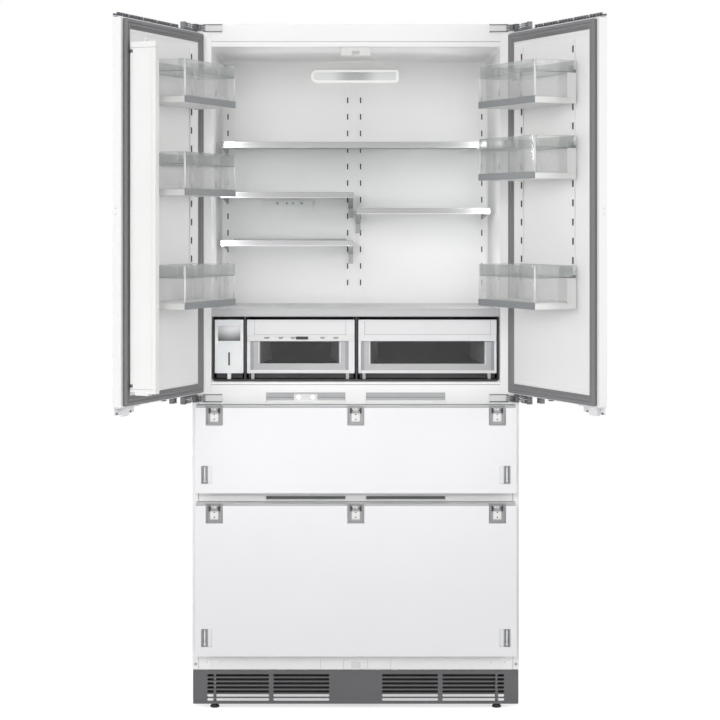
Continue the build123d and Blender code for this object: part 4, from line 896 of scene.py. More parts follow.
def hingeArms():
    ends = spans("hinge_arms")[2]
    arm = {
        "inner": 370.0, "outer": 430.0, "height": 22.0, "proud": 3.0, "plate": 6.0, "barrel": 8.0,
        "visible": 418.0, "bar": 2.6, "leaf": 2.6, "leafPitch": 4.6,
    }
    dark = bmesh.new()
    white = bmesh.new()
    seats = []
    for side in ("left", "right"):
        pin = [value * 1000.0 for value in joints[side + "_door_hinge"]["pos_m"]]
        hand = -1 if side == "left" else 1
        door = spans(side + "_door")[2]
        for toward, end in ((1, door[1] + 6.3), (-1, door[0] - 6.3)):
            near = end + toward * 1.5
            levels = sorted((near, near + toward * arm["plate"]))
            outline = (
                (pin[0] + hand * 6.4, pin[1] + 4.8),
                (pin[0] - hand * 6.0, 0.0),
                (hand * arm["visible"], 0.0),
                (hand * arm["visible"], -arm["proud"] - 1.6),
                (hand * arm["outer"], -2.0 * arm["proud"]),
                (pin[0] - hand * 4.0, pin[1] - 6.4),
            )
            for leafNumber in range(4):
                start = near + toward * (leafNumber * arm["leafPitch"])
                foot, head = sorted((start, start + toward * arm["leaf"]))
                if head > ends[1] - 0.2 or foot < ends[0] + 0.2:
                    continue
                verts = [dark.verts.new((*point, foot)) for point in outline]
                face = dark.faces.new(verts)
                lifted = bmesh.ops.extrude_face_region(dark, geom=[face])["geom"]
                top = [item for item in lifted if isinstance(item, bmesh.types.BMVert)]
                bmesh.ops.translate(dark, vec=(0.0, 0.0, head - foot), verts=top)
                addRod(dark, (pin[0], pin[1], (foot + head) / 2), arm["barrel"], head - foot, "z", 40)
            addRod(dark, (pin[0], pin[1], near + toward * 8.0), 5.4, 16.0, "z", 32)
            addRod(dark, (pin[0] - hand * 12.0, pin[1] / 2, near + toward * 8.0), 4.6, 16.0, "z", 32)
            pinLevels = sorted((levels[1] if toward > 0 else levels[0], end - toward * arm["plate"]))
            addRod(dark, (pin[0], pin[1], sum(pinLevels) / 2), 4.0, pinLevels[1] - pinLevels[0], "z", 24)
            low = min(end - toward * 2.0, end + toward * (arm["height"] - 2.0))
            plate = sorted((hand * arm["inner"], hand * arm["outer"]))
            addBox(white, plate, (-arm["proud"], 0.0), (low, low + arm["height"]))
            for edge in (low, low + arm["height"] - arm["bar"]):
                rail = sorted((hand * (arm["inner"] + 3.0), hand * (arm["outer"] - 6.0)))
                addBox(dark, rail, (-arm["proud"] - 1.8, -arm["proud"] - 0.1), (edge, edge + arm["bar"]))
                seats.append((hand * (arm["inner"] + 4.0), -arm["proud"] - 0.2, edge + arm["bar"] / 2))
    bmesh.ops.recalc_face_normals(dark, faces=dark.faces)
    finishPiece(dark, "hingeBearings", "cabinet", "hinge", None, "hinge_arms", rounding=0.6)
    finishPiece(white, "hingeCovers", "cabinet", "whiteAbs", rounding=0.8)
    screws = bmesh.new()
    addScrews(screws, seats, 2.0, 1.8)
    finishPiece(screws, "hingeCoverScrews", "cabinet", "hinge")


for side, hand in (("left", -1), ("right", 1)):
    doorFittings(side, doorPlace(side, hand))
hingeArms()


# Folding bar: a long white moulding between two end caps, with a shallow strip for the seals.
def foldingBar():
    place = doorPlace("left", -1)
    x, y, z = spans("folding_bar", place)
    top = z[1] - 12.0
    cap = 16.0
    bm = bmesh.new()
    addBox(bm, (x[0] + 0.5, x[1] - 0.5), (y[0] + 0.5, y[1] - 0.5), (z[0] + cap, top - cap))
    addBox(bm, x, (y[0] + 14.0, y[1] - 22.0), (z[0], z[0] + cap - 0.6))
    addBox(bm, x, (y[1] - 21.9, y[1]), (z[0] + 5.0, z[0] + cap - 0.6))
    addBox(bm, x, (y[0], y[0] + 13.9), (z[0] + 8.0, z[0] + cap - 0.6))
    addBox(bm, x, y, (top - cap + 0.6, top))
    addBox(bm, (x[0], x[0] + 0.6), (y[0] + 20.0, y[1] - 18.0), (z[0] + cap + 10.0, top - cap - 10.0))
    addBox(bm, (x[1] - 0.6, x[1]), (y[0] + 12.0, y[1] - 12.0), (z[0] + cap + 10.0, top - cap - 10.0))
    soften(bm, sharpEdges(bm), 1.2, 3)
    addRod(bm, (x[1] - 7.5, y[0] + 4.0 + 40.0, top + 6.0), 4.0, 12.0, "z", 24)
    finishPiece(bm, "foldingBarMoulding", "folding_bar", "whiteAbs", place, "folding_bar")


foldingBar()
print("hinges and folding bar are made")

# Drawers: a bare front with three hangers and two side clips, its seal, its runners and its bin.
drawerStyle = {
    "hangerPitch": 391.0, "hangerWidth": 47.0, "hangerHeight": 54.0,
    "clipPlace": 412.0, "clipWidth": 30.0, "clipHeight": 50.0, "clipLift": 51.0, "pocket": 12.0,
}


def drawerHangers(row):
    style = drawerStyle
    x, y, z = spans(row + "_drawer_front")
    back = y[0] + style["pocket"]
    plates = bmesh.new()
    hooks = bmesh.new()
    blocks = bmesh.new()
    dots = bmesh.new()
    seats = []
    for middle in (-style["hangerPitch"], 0.0, style["hangerPitch"]):
        half = style["hangerWidth"] / 2 - 2.0
        foot = z[1] - style["hangerHeight"] + 2.0
        addBox(plates, (middle - half, middle + half), (back - 1.5, back), (foot, z[1] - 0.4))
        for side in (-1, 1):
            lip = sorted((middle + side * half, middle + side * (half - 1.5)))
            addBox(plates, lip, (y[0] + 2.0, back - 1.5), (foot, z[1] - 0.4))
        addBox(plates, (middle - half, middle + half), (y[0] + 2.0, back - 1.5), (foot, foot + 1.5))
        for side in (-1, 1):
            claw = sorted((middle + side * 11.0, middle + side * 16.0))
            addBox(hooks, claw, (y[0] + 2.4, y[0] + 5.0), (z[1] - 21.0, z[1] - 6.0))
            toe = sorted((middle + side * 8.0, middle + side * 11.0))
            addBox(hooks, toe, (y[0] + 2.4, y[0] + 5.0), (z[1] - 15.0, z[1] - 11.0))
            addBox(hooks, claw, (y[0] + 5.0, back - 1.6), (z[1] - 12.0, z[1] - 9.0))
        addBox(blocks, (middle - 11.3, middle + 11.3), (y[0] + 2.2, back - 1.5), (z[1] - 43.5, z[1] - 21.5))
        for level in (24.0, 37.5):
            addRod(dots, (middle, y[0] + 2.15, z[1] - level), 1.9, 0.5, "y", 20)
        seats += [(middle - 6.5, back - 3.0, z[1] - 10.5), (middle + 1.5, back - 3.0, z[1] - 10.5)]
    for bm in (plates, hooks, blocks):
        soften(bm, sharpEdges(bm), 0.35)
    replaced = row + "_drawer_metalwork"
    finishPiece(plates, row + "HangerPlates", row + "_drawer", "coverTrim", None, replaced)
    finishPiece(hooks, row + "HangerHooks", row + "_drawer", "charcoal")
    finishPiece(blocks, row + "HangerBlocks", row + "_drawer", "whiteAbs")
    finishPiece(dots, row + "HangerDots", row + "_drawer", "charcoal")
    capping = bmesh.new()
    addBox(capping, (x[0] + 3.0, x[1] - 3.0), (y[0] + 1.0, y[1] - 1.0), (z[1] - 0.6, z[1] + 0.6))
    soften(capping, sharpEdges(capping), 0.3)
    edges = [x[0] + 3.0, x[1] - 3.0]
    for middle in (-style["hangerPitch"], 0.0, style["hangerPitch"]):
        edges += [middle - style["hangerWidth"] / 2, middle + style["hangerWidth"] / 2]
    edges.sort()
    for start, end in zip(edges[::2], edges[1::2]):
        addBox(capping, (start, end), (y[0] - 0.2, y[0] + 0.9), (z[1] - 5.4, z[1] - 0.7))
    finishPiece(capping, row + "FrontCapping", row + "_drawer", "trim")
    screws = bmesh.new()
    addScrews(screws, seats, 3.8, 1.4)
    finishPiece(screws, row + "HangerScrews", row + "_drawer", "whiteAbs")


def sideClips(row):
    style = drawerStyle
    y, z = spans(row + "_drawer_front")[1:]
    back = y[0] + style["pocket"]
    clips = bmesh.new()
    seats = []
    highlightSpindlesAndScrews = bmesh.new()
    covers = bmesh.new()
    for side in (-1, 1):
        middle = side * style["clipPlace"]
        half = style["clipWidth"] / 2 - 0.4
        level = z[0] + style["clipLift"]
        reach = style["clipHeight"] / 2 - 0.4
        inner = sorted((middle - side * half, middle - side * (half - 11.0)))
        outer = sorted((middle - side * (half - 11.2), middle + side * half))
        addBox(clips, outer, (back - 2.0, back), (level - reach, level + reach))
        for start in (outer[0], outer[1] - 4.0):
            addBox(clips, (start, start + 4.0), (y[0] + 2.0, back - 2.0), (level - reach, level + reach))
        for end in (level - reach, level + reach - 3.0):
            addBox(clips, (outer[0] + 4.1, outer[1] - 4.1), (y[0] + 2.4, back - 2.0), (end, end + 3.0))
        # A near-white rod down each clip's metal half: the spindle, its white a painted highlight.
        addRod(highlightSpindlesAndScrews, (sum(outer) / 2, y[0] + 6.0, level), 3.2, 2 * reach - 6.4, "z", 24)
        addRod(highlightSpindlesAndScrews, (sum(outer) / 2, y[0] + 6.0, level - reach + 6.5), 4.2, 5.0, "z", 24)
        addBox(covers, inner, (y[0] + 1.2, back), (level - reach, level + reach))
        seats.append((sum(inner) / 2, y[0] + 1.2, level - reach + 5.0))
    for bm in (clips, covers):
        soften(bm, sharpEdges(bm), 0.5)
    addScrews(highlightSpindlesAndScrews, seats, 2.2, 0.6)
    finishPiece(clips, row + "SideClips", row + "_drawer", "greyAbs")
    finishPiece(highlightSpindlesAndScrews, row + "ClipHighlightSpindlesAndScrews", row + "_drawer", "whiteAbs")
    finishPiece(covers, row + "ClipCovers", row + "_drawer", "frontGrey")


# Telescopic slide: a folded channel with rolled edges, ball cages showing as a row of round stops.
slide = {"thickness": 6.05, "half": 18.0, "edge": 6.5, "pitch": 48.0, "stop": 4.0}


def slideMember(bm, xSpan, ySpan, zSpan):
    edge = slide["edge"]
    addBox(bm, xSpan, ySpan, (zSpan[0], zSpan[0] + edge))
    addBox(bm, xSpan, ySpan, (zSpan[1] - edge, zSpan[1]))
    web = (xSpan[0] + 0.2, xSpan[0] + 1.6)
    if abs(xSpan[0]) <= abs(xSpan[1]):
        web = (xSpan[1] - 1.6, xSpan[1] - 0.2)
    addBox(bm, web, ySpan, (zSpan[0] + edge, zSpan[1] - edge))
    for step in range(int((ySpan[1] - ySpan[0]) / slide["pitch"])):
        along = ySpan[0] + (step + 0.5) * slide["pitch"]
        addRod(bm, (sum(web) / 2, along, sum(zSpan) / 2), slide["stop"], web[1] - web[0] + 0.6, "x", 20)


def drawerRunners(row):
    end = spans(row + "_drawer_metalwork")[1][1]
    bin = spans(row + "_drawer_bin")
    level = (bin[2][0] + bin[2][1]) / 2
    runners = bmesh.new()
    for side in (-1, 1):
        near = side * (bin[0][1] + 0.3)
        far = side * (bin[0][1] + 0.3 + slide["thickness"])
        levels = (level - slide["half"], level + slide["half"])
        slideMember(runners, sorted((near, far)), (-12.5, end), levels)
    finishPiece(runners, row + "Runners", row + "_drawer", "zinc", rounding=0.5)


def cabinetSlides():
    slides = bmesh.new()
    outer = spans("cabinet_slides")[0][1]
    for row in ("upper", "lower"):
        bin = spans(row + "_drawer_bin")
        level = (bin[2][0] + bin[2][1]) / 2
        end = spans(row + "_drawer_metalwork")[1][1]
        for side in (-1, 1):
            across = sorted((side * outer, side * (outer - slide["thickness"])))
            levels = (level - slide["half"], level + slide["half"])
            slideMember(slides, across, (22.0, end), levels)
    soften(slides, sharpEdges(slides), 0.5)
    finishPiece(slides, "cabinetSlideMembers", "cabinet", "zinc", None, "cabinet_slides")


drawerSeal = (
    (0.0, 0.0), (0.0, 8.0), (1.2, 10.8), (3.0, 11.5), (9.0, 11.5), (10.2, 9.2), (12.2, 9.2), (13.4, 11.5),
    (18.0, 11.5), (19.6, 8.4), (21.6, 7.6), (24.0, 3.6), (24.0, 0.0), (0.0, 0.0),
)


# Freezer bin: a white tub with a rolled rim and pressed ribs along its sides.
def drawerBin(row):
    node = row + "_drawer_bin"
    x, y, z = spans(node)
    bm = bmesh.new()
    rim = 9.0
    profile = (
        (2.0, z[0]), (2.0, z[1] - rim), (0.0, z[1] - rim), (0.0, z[1] - 1.0), (1.0, z[1]),
        (4.5, z[1]), (5.5, z[1] - 1.0), (5.5, z[0] + 3.0),
    )
    addSurround(bm, x, y, profile, 10.0, flat="xy")
    rings = [edge for edge in bm.edges if len(edge.link_faces) == 1]
    bmesh.ops.holes_fill(bm, edges=rings)
    bmesh.ops.remove_doubles(bm, verts=bm.verts, dist=0.001)
    finishPiece(bm, node + "Tub", row + "_drawer", "whiteAbs", None, node)
    ribs = bmesh.new()
    count = int((x[1] - x[0] - 80.0) / 60.0)
    for step in range(count + 1):
        middle = (step - count / 2) * 60.0
        for wall in ((y[0] + 0.6, y[0] + 2.1), (y[1] - 2.1, y[1] - 0.6)):
            addBox(ribs, (middle - 4.0, middle + 4.0), wall, (z[0] + 14.0, z[1] - rim - 8.0))
    finishPiece(ribs, node + "Ribs", row + "_drawer", "whiteAbs", rounding=0.5)


for row in ("upper", "lower"):
    softCopy(row + "_drawer_front", "greyPaint", 1.2)
    drawerHangers(row)
    sideClips(row)
    drawerRunners(row)
    drawerBin(row)
    x, y, z = spans(row + "_drawer_gasket")
    seal = bmesh.new()
    addSweep(seal, x, 0.0, z, drawerSeal, 5.0)
    bmesh.ops.translate(seal, vec=(0.0, y[0], 0.0), verts=seal.verts)
    finishPiece(seal, row + "DrawerSeal", row + "_drawer", "gasket", None, row + "_drawer_gasket")
cabinetSlides()
print("drawers are made")

# Crisper zone: clear tubs with a grey front frame, a clear window and an inset label panel.
crisperStyle = {"front": 10.0, "floorLift": 22.0}


def crisperTub(node):
    x, y, z = spans(node)
    floor = spans("crisper_housing")[2][0] + crisperStyle["floorLift"]
    bm = bmesh.new()
    back = (y[0] + crisperStyle["front"], y[1])
    profile = (
        (1.0, floor), (1.0, z[1] - 5.0), (0.0, z[1] - 4.0), (0.0, z[1] - 0.8), (0.8, z[1]),
        (3.2, z[1]), (4.0, z[1] - 0.8), (4.0, floor + 3.0),
    )
    addSurround(bm, x, back, profile, 5.0, flat="xy")
    bmesh.ops.holes_fill(bm, edges=[edge for edge in bm.edges if len(edge.link_faces) == 1])
    bmesh.ops.remove_doubles(bm, verts=bm.verts, dist=0.001)
    finishPiece(bm, node + "Tub", bodyOf[node], "clear", None, node)
    feet = bmesh.new()
    for footX in (x[0] + 16.0, x[1] - 20.0):
        for footY in (y[0] + 16.0, y[1] - 20.0):
            addBox(feet, (footX - 4.5, footX + 4.5), (footY - 9.0, footY + 9.0), (z[0], floor - 0.1))
    finishPiece(feet, node + "Feet", bodyOf[node], "coverTrim", rounding=1.0)
    skirt = bmesh.new()
    addBox(skirt, (x[0] + 4.0, x[1] - 4.0), (y[0] + 26.0, y[0] + 28.0), (z[0] + 2.0, floor - 0.1))
    finishPiece(skirt, node + "Skirt", bodyOf[node], "charcoal")


# Openings of a front: how far in from its left and its right end, and its levels.
crisperFronts = {
    "left_crisper": {"inset": (21.5, 25.0, 1037.0, 1075.0), "window": (9.5, 17.0, 938.5, 1018.0)},
    "right_crisper": {"inset": (18.0, 17.5, 1037.0, 1076.0), "window": (7.5, 6.5, 937.5, 1018.0)},
}


# The front: an outer frame, the window behind it and a shallow inset panel above.
def crisperFront(node):
    x, y, z = spans(node)
    floor = spans("crisper_housing")[2][0] + crisperStyle["floorLift"]
    (insetX, insetZ), (windowX, windowZ) = [
        ((x[0] + left, x[1] - right), (low, high)) for left, right, low, high in crisperFronts[node].values()
    ]
    flush = (y[0], y[0] + 9.8)
    waist = windowZ[1] + 1.0
    front = bmesh.new()
    for box in (
        (x, (y[0] + 3.0, y[0] + 9.8), (waist, insetZ[0])),
        (x, flush, (insetZ[1], z[1])),
        ((x[0], insetX[0]), flush, insetZ),
        ((insetX[1], x[1]), flush, insetZ),
        (insetX, (y[0] + 2.5, y[0] + 9.8), insetZ),
        ((x[0], windowX[0]), flush, (floor, waist)),
        ((windowX[1], x[1]), flush, (floor, waist)),
        (windowX, flush, (floor, windowZ[0])),
    ):
        addBox(front, *box)
    finishPiece(front, node + "FrontFrame", bodyOf[node], "frontGrey", rounding=0.7)
    pane = bmesh.new()
    paneX = (windowX[0] + 0.1, windowX[1] - 0.1)
    addBox(pane, paneX, (y[0] + 1.2, y[0] + 4.2), (windowZ[0] + 0.1, windowZ[1]))
    finishPiece(pane, node + "Window", bodyOf[node], "clear", rounding=0.6)
    # Behind the pane: a grey band at each end, a pale sill and edge further in, and a wall leaning inwards.
    bands = bmesh.new()
    sill = bmesh.new()
    edges = bmesh.new()
    walls = bmesh.new()
    inside = (y[0] + 5.0, y[0] + 9.4)
    upper = (windowZ[0] + 18.0, windowZ[1])
    for end, toward in ((windowX[0], 1), (windowX[1], -1)):
        band = sorted((end + toward * 0.2, end + toward * 9.0))
        addBox(bands, band, inside, (windowZ[0] + 0.2, windowZ[1]))
        addBox(sill, sorted((end + toward * 9.1, end + toward * 22.0)), inside, upper)
        addBox(edges, sorted((end + toward * 22.1, end + toward * 24.6)), inside, upper)
        wall = sorted((end + toward * 24.8, end + toward * 26.8))
        verts = addBox(walls, wall, (y[0] + 9.9, y[0] + 240.0), (windowZ[0] + 16.0, windowZ[1]))
        for vert in verts:
            if vert.co.y > y[0] + 100.0:
                vert.co.x += toward * 24.0
    addBox(sill, (windowX[0] + 9.1, windowX[1] - 9.1), inside, (windowZ[0] + 0.2, windowZ[0] + 17.9))
    finishPiece(bands, node + "WindowBands", bodyOf[node], "greyAbs")
    finishPiece(sill, node + "WindowSill", bodyOf[node], "coverTrim")
    finishPiece(edges, node + "WindowEdges", bodyOf[node], "whiteAbs")
    finishPiece(walls, node + "InnerWalls", bodyOf[node], "coverTrim")
    outline = bmesh.new()
    line = 0.9
    for end, toward in ((insetX[0], -1), (insetX[1], 1)):
        across = sorted((end, end + toward * line))
        addBox(outline, across, (y[0] - 0.05, y[0] + 0.5), (insetZ[0] - line, insetZ[1]))
    addBox(outline, insetX, (y[0] + 2.35, y[0] + 2.7), (insetZ[0], insetZ[0] + line))
    finishPiece(outline, node + "InsetOutline", bodyOf[node], "trim")
    if node == "left_crisper":
        humidityStrip(x, y, insetZ[0], waist)


# White humidity strip with its printed marks and a track for the slider.
def humidityStrip(x, y, top, foot):
    slider = spans("humidity_slider")
    strip = bmesh.new()
    track = (slider[2][0] - 0.3, slider[2][1] + 0.3)
    run = (slider[0][0] - 62.0, slider[0][1] + 62.0)
    deep = (y[0] + 0.6, y[0] + 2.9)
    addBox(strip, (x[0] + 2.0, x[1] - 2.0), deep, (foot, track[0]))
    addBox(strip, (x[0] + 2.0, x[1] - 2.0), deep, (track[1], top - 0.4))
    addBox(strip, (x[0] + 2.0, run[0]), deep, track)
    addBox(strip, (run[1], x[1] - 2.0), deep, track)
    finishPiece(strip, "humidityStrip", "left_crisper", "whiteAbs", rounding=0.3)
    marks = bmesh.new()
    level = sum(track) / 2
    for start, end in ((-256.0, -240.0), (-216.0, -202.0), (-182.0, -168.0), (-99.0, -85.0), (-63.0, -47.0)):
        depth = (y[0] + 2.86, y[0] + 3.02) if run[0] < start < run[1] else (y[0] + 0.45, y[0] + 0.65)
        addBox(marks, (start, end), depth, (level + 0.9, level + 2.5))
        addBox(marks, (start + 1.0, end - 3.0), depth, (level - 2.3, level - 0.9))
    finishPiece(marks, "humidityMarks", "left_crisper", "rubber")
    knob = bmesh.new()
    sx, sy, sz = slider
    addBox(knob, (sx[0], sx[1]), (sy[0] + 1.2, sy[1]), (sz[0], sz[1]))
    for step in range(5):
        rib = (sx[0] + sx[1]) / 2 - 6.0 + step * 3.0
        addBox(knob, (rib - 0.6, rib + 0.6), (sy[0], sy[0] + 1.4), (sz[0] + 1.2, sz[1] - 1.2))
    finishPiece(knob, "humidityKnob", "humidity_slider", "charcoal", None, "humidity_slider", rounding=0.3)


for node in crisperFronts:
    crisperTub(node)
for node in crisperFronts:
    crisperFront(node)


# Water tank: a milky tub with a lid, a curved grip and a level slot.
def waterTank():
    node = "water_tank"
    x, y, z = spans(node)
    floor = spans("crisper_housing")[2][0] + crisperStyle["floorLift"]
    middle = (x[0] + x[1]) / 2
    grip = {"half": 30.8, "top": 1062.0, "height": 42.0, "depth": 7.0, "steps": 12}
    tub = bmesh.new()
    profile = (
        (0.6, floor), (0.0, floor + 0.6), (0.0, z[1] - 0.6), (0.6, z[1]),
        (2.4, z[1]), (3.0, z[1] - 0.6), (3.0, floor + 3.0),
    )
    addSurround(tub, x, (y[0] + 10.0, y[1]), profile, 3.0, flat="xy")
    bmesh.ops.holes_fill(tub, edges=[edge for edge in tub.edges if len(edge.link_faces) == 1])
    finishPiece(tub, "tankTub", node, "tank", None, node)
    face = bmesh.new()
    addBox(face, x, (y[0], y[0] + 9.8), (floor, z[1]))
    soften(face, sharpEdges(face), 0.9)
    opening = ((middle - grip["half"], middle + grip["half"]), (grip["top"] - grip["height"], grip["top"]))
    sinkPockets(face, y[0], [opening], 8.4)
    for footY in (y[0] + 16.0, y[1] - 20.0):
        addBox(face, (middle - 5.0, middle + 5.0), (footY - 9.0, footY + 9.0), (z[0], floor - 0.1))
    finishPiece(face, "tankFace", node, "tank")
    skirt = bmesh.new()
    addBox(skirt, (x[0] + 4.0, x[1] - 4.0), (y[0] + 26.0, y[0] + 28.0), (z[0] + 2.0, floor - 0.1))
    finishPiece(skirt, "tankSkirt", node, "charcoal")
    # The grip: a pulled-in lip that curves under; painted shade takes it from pale at its top to grey at its foot.
    scoop = bmesh.new()
    points = []
    lip = y[0] + 0.8
    for step in range(grip["steps"] + 1):
        turn = math.radians(90.0 * step / grip["steps"])
        along = lip + grip["depth"] * (1 - math.cos(turn))
        points.append((along, grip["top"] - grip["height"] * math.sin(turn)))
    points.append((lip + grip["depth"], grip["top"]))
    side = [scoop.verts.new((middle - grip["half"] + 0.1, along, up - 0.1)) for along, up in points]
    moved = bmesh.ops.extrude_face_region(scoop, geom=[scoop.faces.new(side)])["geom"]
    far = [part for part in moved if isinstance(part, bmesh.types.BMVert)]
    bmesh.ops.translate(scoop, vec=(2 * grip["half"] - 0.2, 0.0, 0.0), verts=far)
    finishPiece(scoop, "tankGripPaintedShade", node, "tankGripPaintedShade")
    lid = bmesh.new()
    addBox(lid, (x[0] + 3.2, x[1] - 3.2), (y[0] + 10.2, y[1] - 3.2), (z[1] - 4.0, z[1] - 1.2))
    addBox(lid, (x[0] + 26.0, x[1] - 26.0), (y[0] + 40.0, y[0] + 70.0), (z[1] - 1.2, z[1] - 0.1))
    finishPiece(lid, "tankLid", node, "whiteAbs", rounding=0.5)
    gauge = bmesh.new()
    addBox(gauge, (middle - 2.6, middle + 2.6), (y[0] - 0.1, y[0] + 0.8), (951.0, 988.0))
    finishPiece(gauge, "tankGauge", node, "charcoal", rounding=0.6)


waterTank()
print("crisper zone is made")

# Liners: vacuum-formed boxes whose long inner corners are rounded.
def linerBox(node, radius):
    bm = nodeMesh(node)
    long = [edge for edge in sharpEdges(bm, convex=False) if edge.calc_length() > 150.0]
    soften(bm, long, radius, 5)
    finishPiece(bm, node + "Formed", "cabinet", slotFinish[slotOf[node]], None, node, turned=False)


linerBox("fridge_liner", 9.0)
linerBox("freezer_liner", 8.0)

shelfStyle = {
    "seat": 11.0, "trim": (12.0, 16.0), "lip": 2.4, "sideArm": 4.0, "centreArm": 13.4, "sideDrop": 16.0,
    "centreDrop": 28.0, "hookDrop": 57.0, "armBack": 428.4, "hook": 6.0,
}
shelfNodes = ("top_shelf_glass", "upper_left_shelf_glass", "lower_left_shelf_glass", "right_shelf_glass")


# A cantilever arm under a shelf's side: deep at the wall and running out to nothing at the front.
def addArm(bm, xSpan, ySpan, level, drop):
    verts = addBox(bm, xSpan, ySpan, (level - 5.0, level + 10.6))
    for vert in verts:
        if vert.co.z < level and vert.co.y > sum(ySpan) / 2:
            vert.co.z = level - drop
        elif vert.co.z < level:
            vert.co.z = level


def shelfFrames():
    style = shelfStyle
    trims = bmesh.new()
    lips = bmesh.new()
    arms = bmesh.new()
    hooks = bmesh.new()
    for node in shelfNodes:
        x, y, z = spans(node)
        level = z[0] - style["seat"]
        front = y[0] - 0.3 - style["trim"][0]
        addBox(trims, x, (front, front + style["trim"][0]), (level, level + style["trim"][1]))
        addBox(trims, (x[0] + 20.0, x[1] - 20.0), (y[1] + 0.3, style["armBack"]), (level + 7.0, z[1] + 3.0))
        addBox(lips, x, (front + 0.2, front + 5.0), (level, level + style["lip"]))
        for end, toward in ((x[0], 1), (x[1], -1)):
            centred = abs(end) < 100.0
            width = style["centreArm"] if centred else style["sideArm"]
            span = sorted((end, end + toward * width))
            drop = style["centreDrop"] if centred else style["sideDrop"]
            addArm(arms, span, (y[0] - 0.3, style["armBack"] - style["hook"]), level, drop)
            if centred:
                hookLevels = (level - style["hookDrop"], level - style["centreDrop"] + 14.0)
                addBox(hooks, span, (style["armBack"] - style["hook"], style["armBack"]), hookLevels)
            cap = sorted((end + toward * 0.02, end + toward * 9.0))
            capLevels = (level + style["lip"] + 0.4, level + style["trim"][1] - 0.8)
            addBox(hooks, cap, (front - 0.35, front + 1.0), capLevels)
    for bm, width in ((trims, 2.0), (lips, 0.6), (arms, 0.8), (hooks, 0.3)):
        soften(bm, sharpEdges(bm), width, 3)
    finishPiece(trims, "shelfTrims", "cabinet", "trim", None, "shelf_frames")
    finishPiece(lips, "shelfLips", "cabinet", "whiteAbs")
    finishPiece(arms, "shelfArms", "cabinet", "greyAbs")
    finishPiece(hooks, "shelfHooks", "cabinet", "trim")


for node in shelfNodes:
    softCopy(node, "glass", 0.9, 3)
shelfFrames()


# Ladders: pressed strips with slots for the shelves' hooks; the slots are black boxes, painted shade.
def ladders():
    softCopy("shelf_ladders", "whiteLiner", 0.5)
    x, y, z = spans("shelf_ladders")
    steps = int((z[1] - z[0]) / ladder["pitch"]) - 1
    slotShades = bmesh.new()
    side = x[1] - 6.0
    for middle in (-side, -22.0, 17.0, side):
        for step in range(steps):
            level = (z[0] + z[1]) / 2 + (step - (steps - 1) / 2) * ladder["pitch"]
            addBox(slotShades, (middle - 1.8, middle + 1.8), (y[1] - 0.5, y[1] - 0.1), (level - 8.6, level + 8.6))
    finishPiece(slotShades, "ladderSlotShade", "cabinet", "rubber")


ladders()


# A plate with its own corner radius at each end, and a sunk middle behind a raised rim.
def addPlate(bm, xSpan, ySpan, zSpan, corners, rim, sink):
    verts = addBox(bm, xSpan, ySpan, zSpan)
    faces = facesOf(verts)
    for side, radius in zip(xSpan, corners):
        upright = [
            edge for edge in {edge for face in faces if face.is_valid for edge in face.edges}
            if all(abs(vert.co.x - side) < 0.01 for vert in edge.verts)
            and abs(edge.verts[0].co.y - edge.verts[1].co.y) > 1.0
        ]
        soften(bm, upright, radius, 10)
        faces = list(bm.faces)
    front = min(bm.faces, key=lambda face: face.calc_center_median().y)
    bmesh.ops.inset_region(bm, faces=[front], thickness=rim, depth=0.0)
    bmesh.ops.translate(bm, vec=(0.0, sink, 0.0), verts=list(front.verts))


def lightPanel():
    x, y, z = spans("light_panel")
    panel = {"corners": (18.5, 9.0), "rim": 3.6, "sink": 1.6, "height": 39.0, "width": 264.0}
    lens = bmesh.new()
    levels = (z[1] - panel["height"], z[1])
    half = panel["width"] / 2
    addPlate(lens, (-half, half), y, levels, panel["corners"], panel["rim"], panel["sink"])
    finishPiece(lens, "lightPanelLens", "cabinet", "lens", None, "light_panel")
    # The panel's inner face, with painted shade towards its middle.
    inner = bmesh.new()
    face = y[0] + panel["sink"]
    span = (-half + 7.0, half - 7.0)
    addPlate(inner, span, (face - 0.5, face + 1.2), (levels[0] + 7.0, levels[1] - 7.0), (11.0, 5.0), 1.0, 0.1)
    finishPiece(inner, "lightPanelFace", "cabinet", "panelPaintedShade")
    strip = bmesh.new()
    stripSpan = (x[0], x[0] + 157.0)
    stripLevels = (z[0], z[0] + 18.0)
    addPlate(strip, stripSpan, (y[0] + 6.0, y[1]), stripLevels, (8.5, 8.5), 1.6, 1.0)
    finishPiece(strip, "sensorStrip", "cabinet", "whiteAbs")
    marks = bmesh.new()
    middle = sum(stripLevels) / 2
    for place, width in ((-29.0, 7.0), (-1.0, 5.0), (18.0, 5.0), (44.0, 9.0)):
        centre = sum(stripSpan) / 2 + place
        across = (centre - width / 2, centre + width / 2)
        addBox(marks, across, (y[0] + 6.7, y[0] + 7.3), (middle - 3.4, middle + 3.4))
    finishPiece(marks, "sensorMarks", "cabinet", "greyAbs", rounding=0.2)


lightPanel()


# Ceiling guide: moulded block with a cam groove, two blind holes and a mould-parting notch each side.
def guideDetails():
    x, y, z = spans("mullion_guide")
    holes = bmesh.new()
    for place, radius in ((17.5, 2.6), (-6.0, 1.5), (-13.0, 1.5)):
        addRod(holes, (place, y[0] + 0.2, z[0] + 7.0), radius, 0.9, "y", 24)
    for side in (-1, 1):
        notch = side * (x[1] - 4.5)
        addBox(holes, (notch - 0.5, notch + 0.5), (y[0] - 0.1, y[0] + 1.0), (z[0] + 1.5, z[0] + 12.0))
    finishPiece(holes, "guideHoles", "cabinet", "frontGrey")


guideDetails()
print("compartment fittings are made")
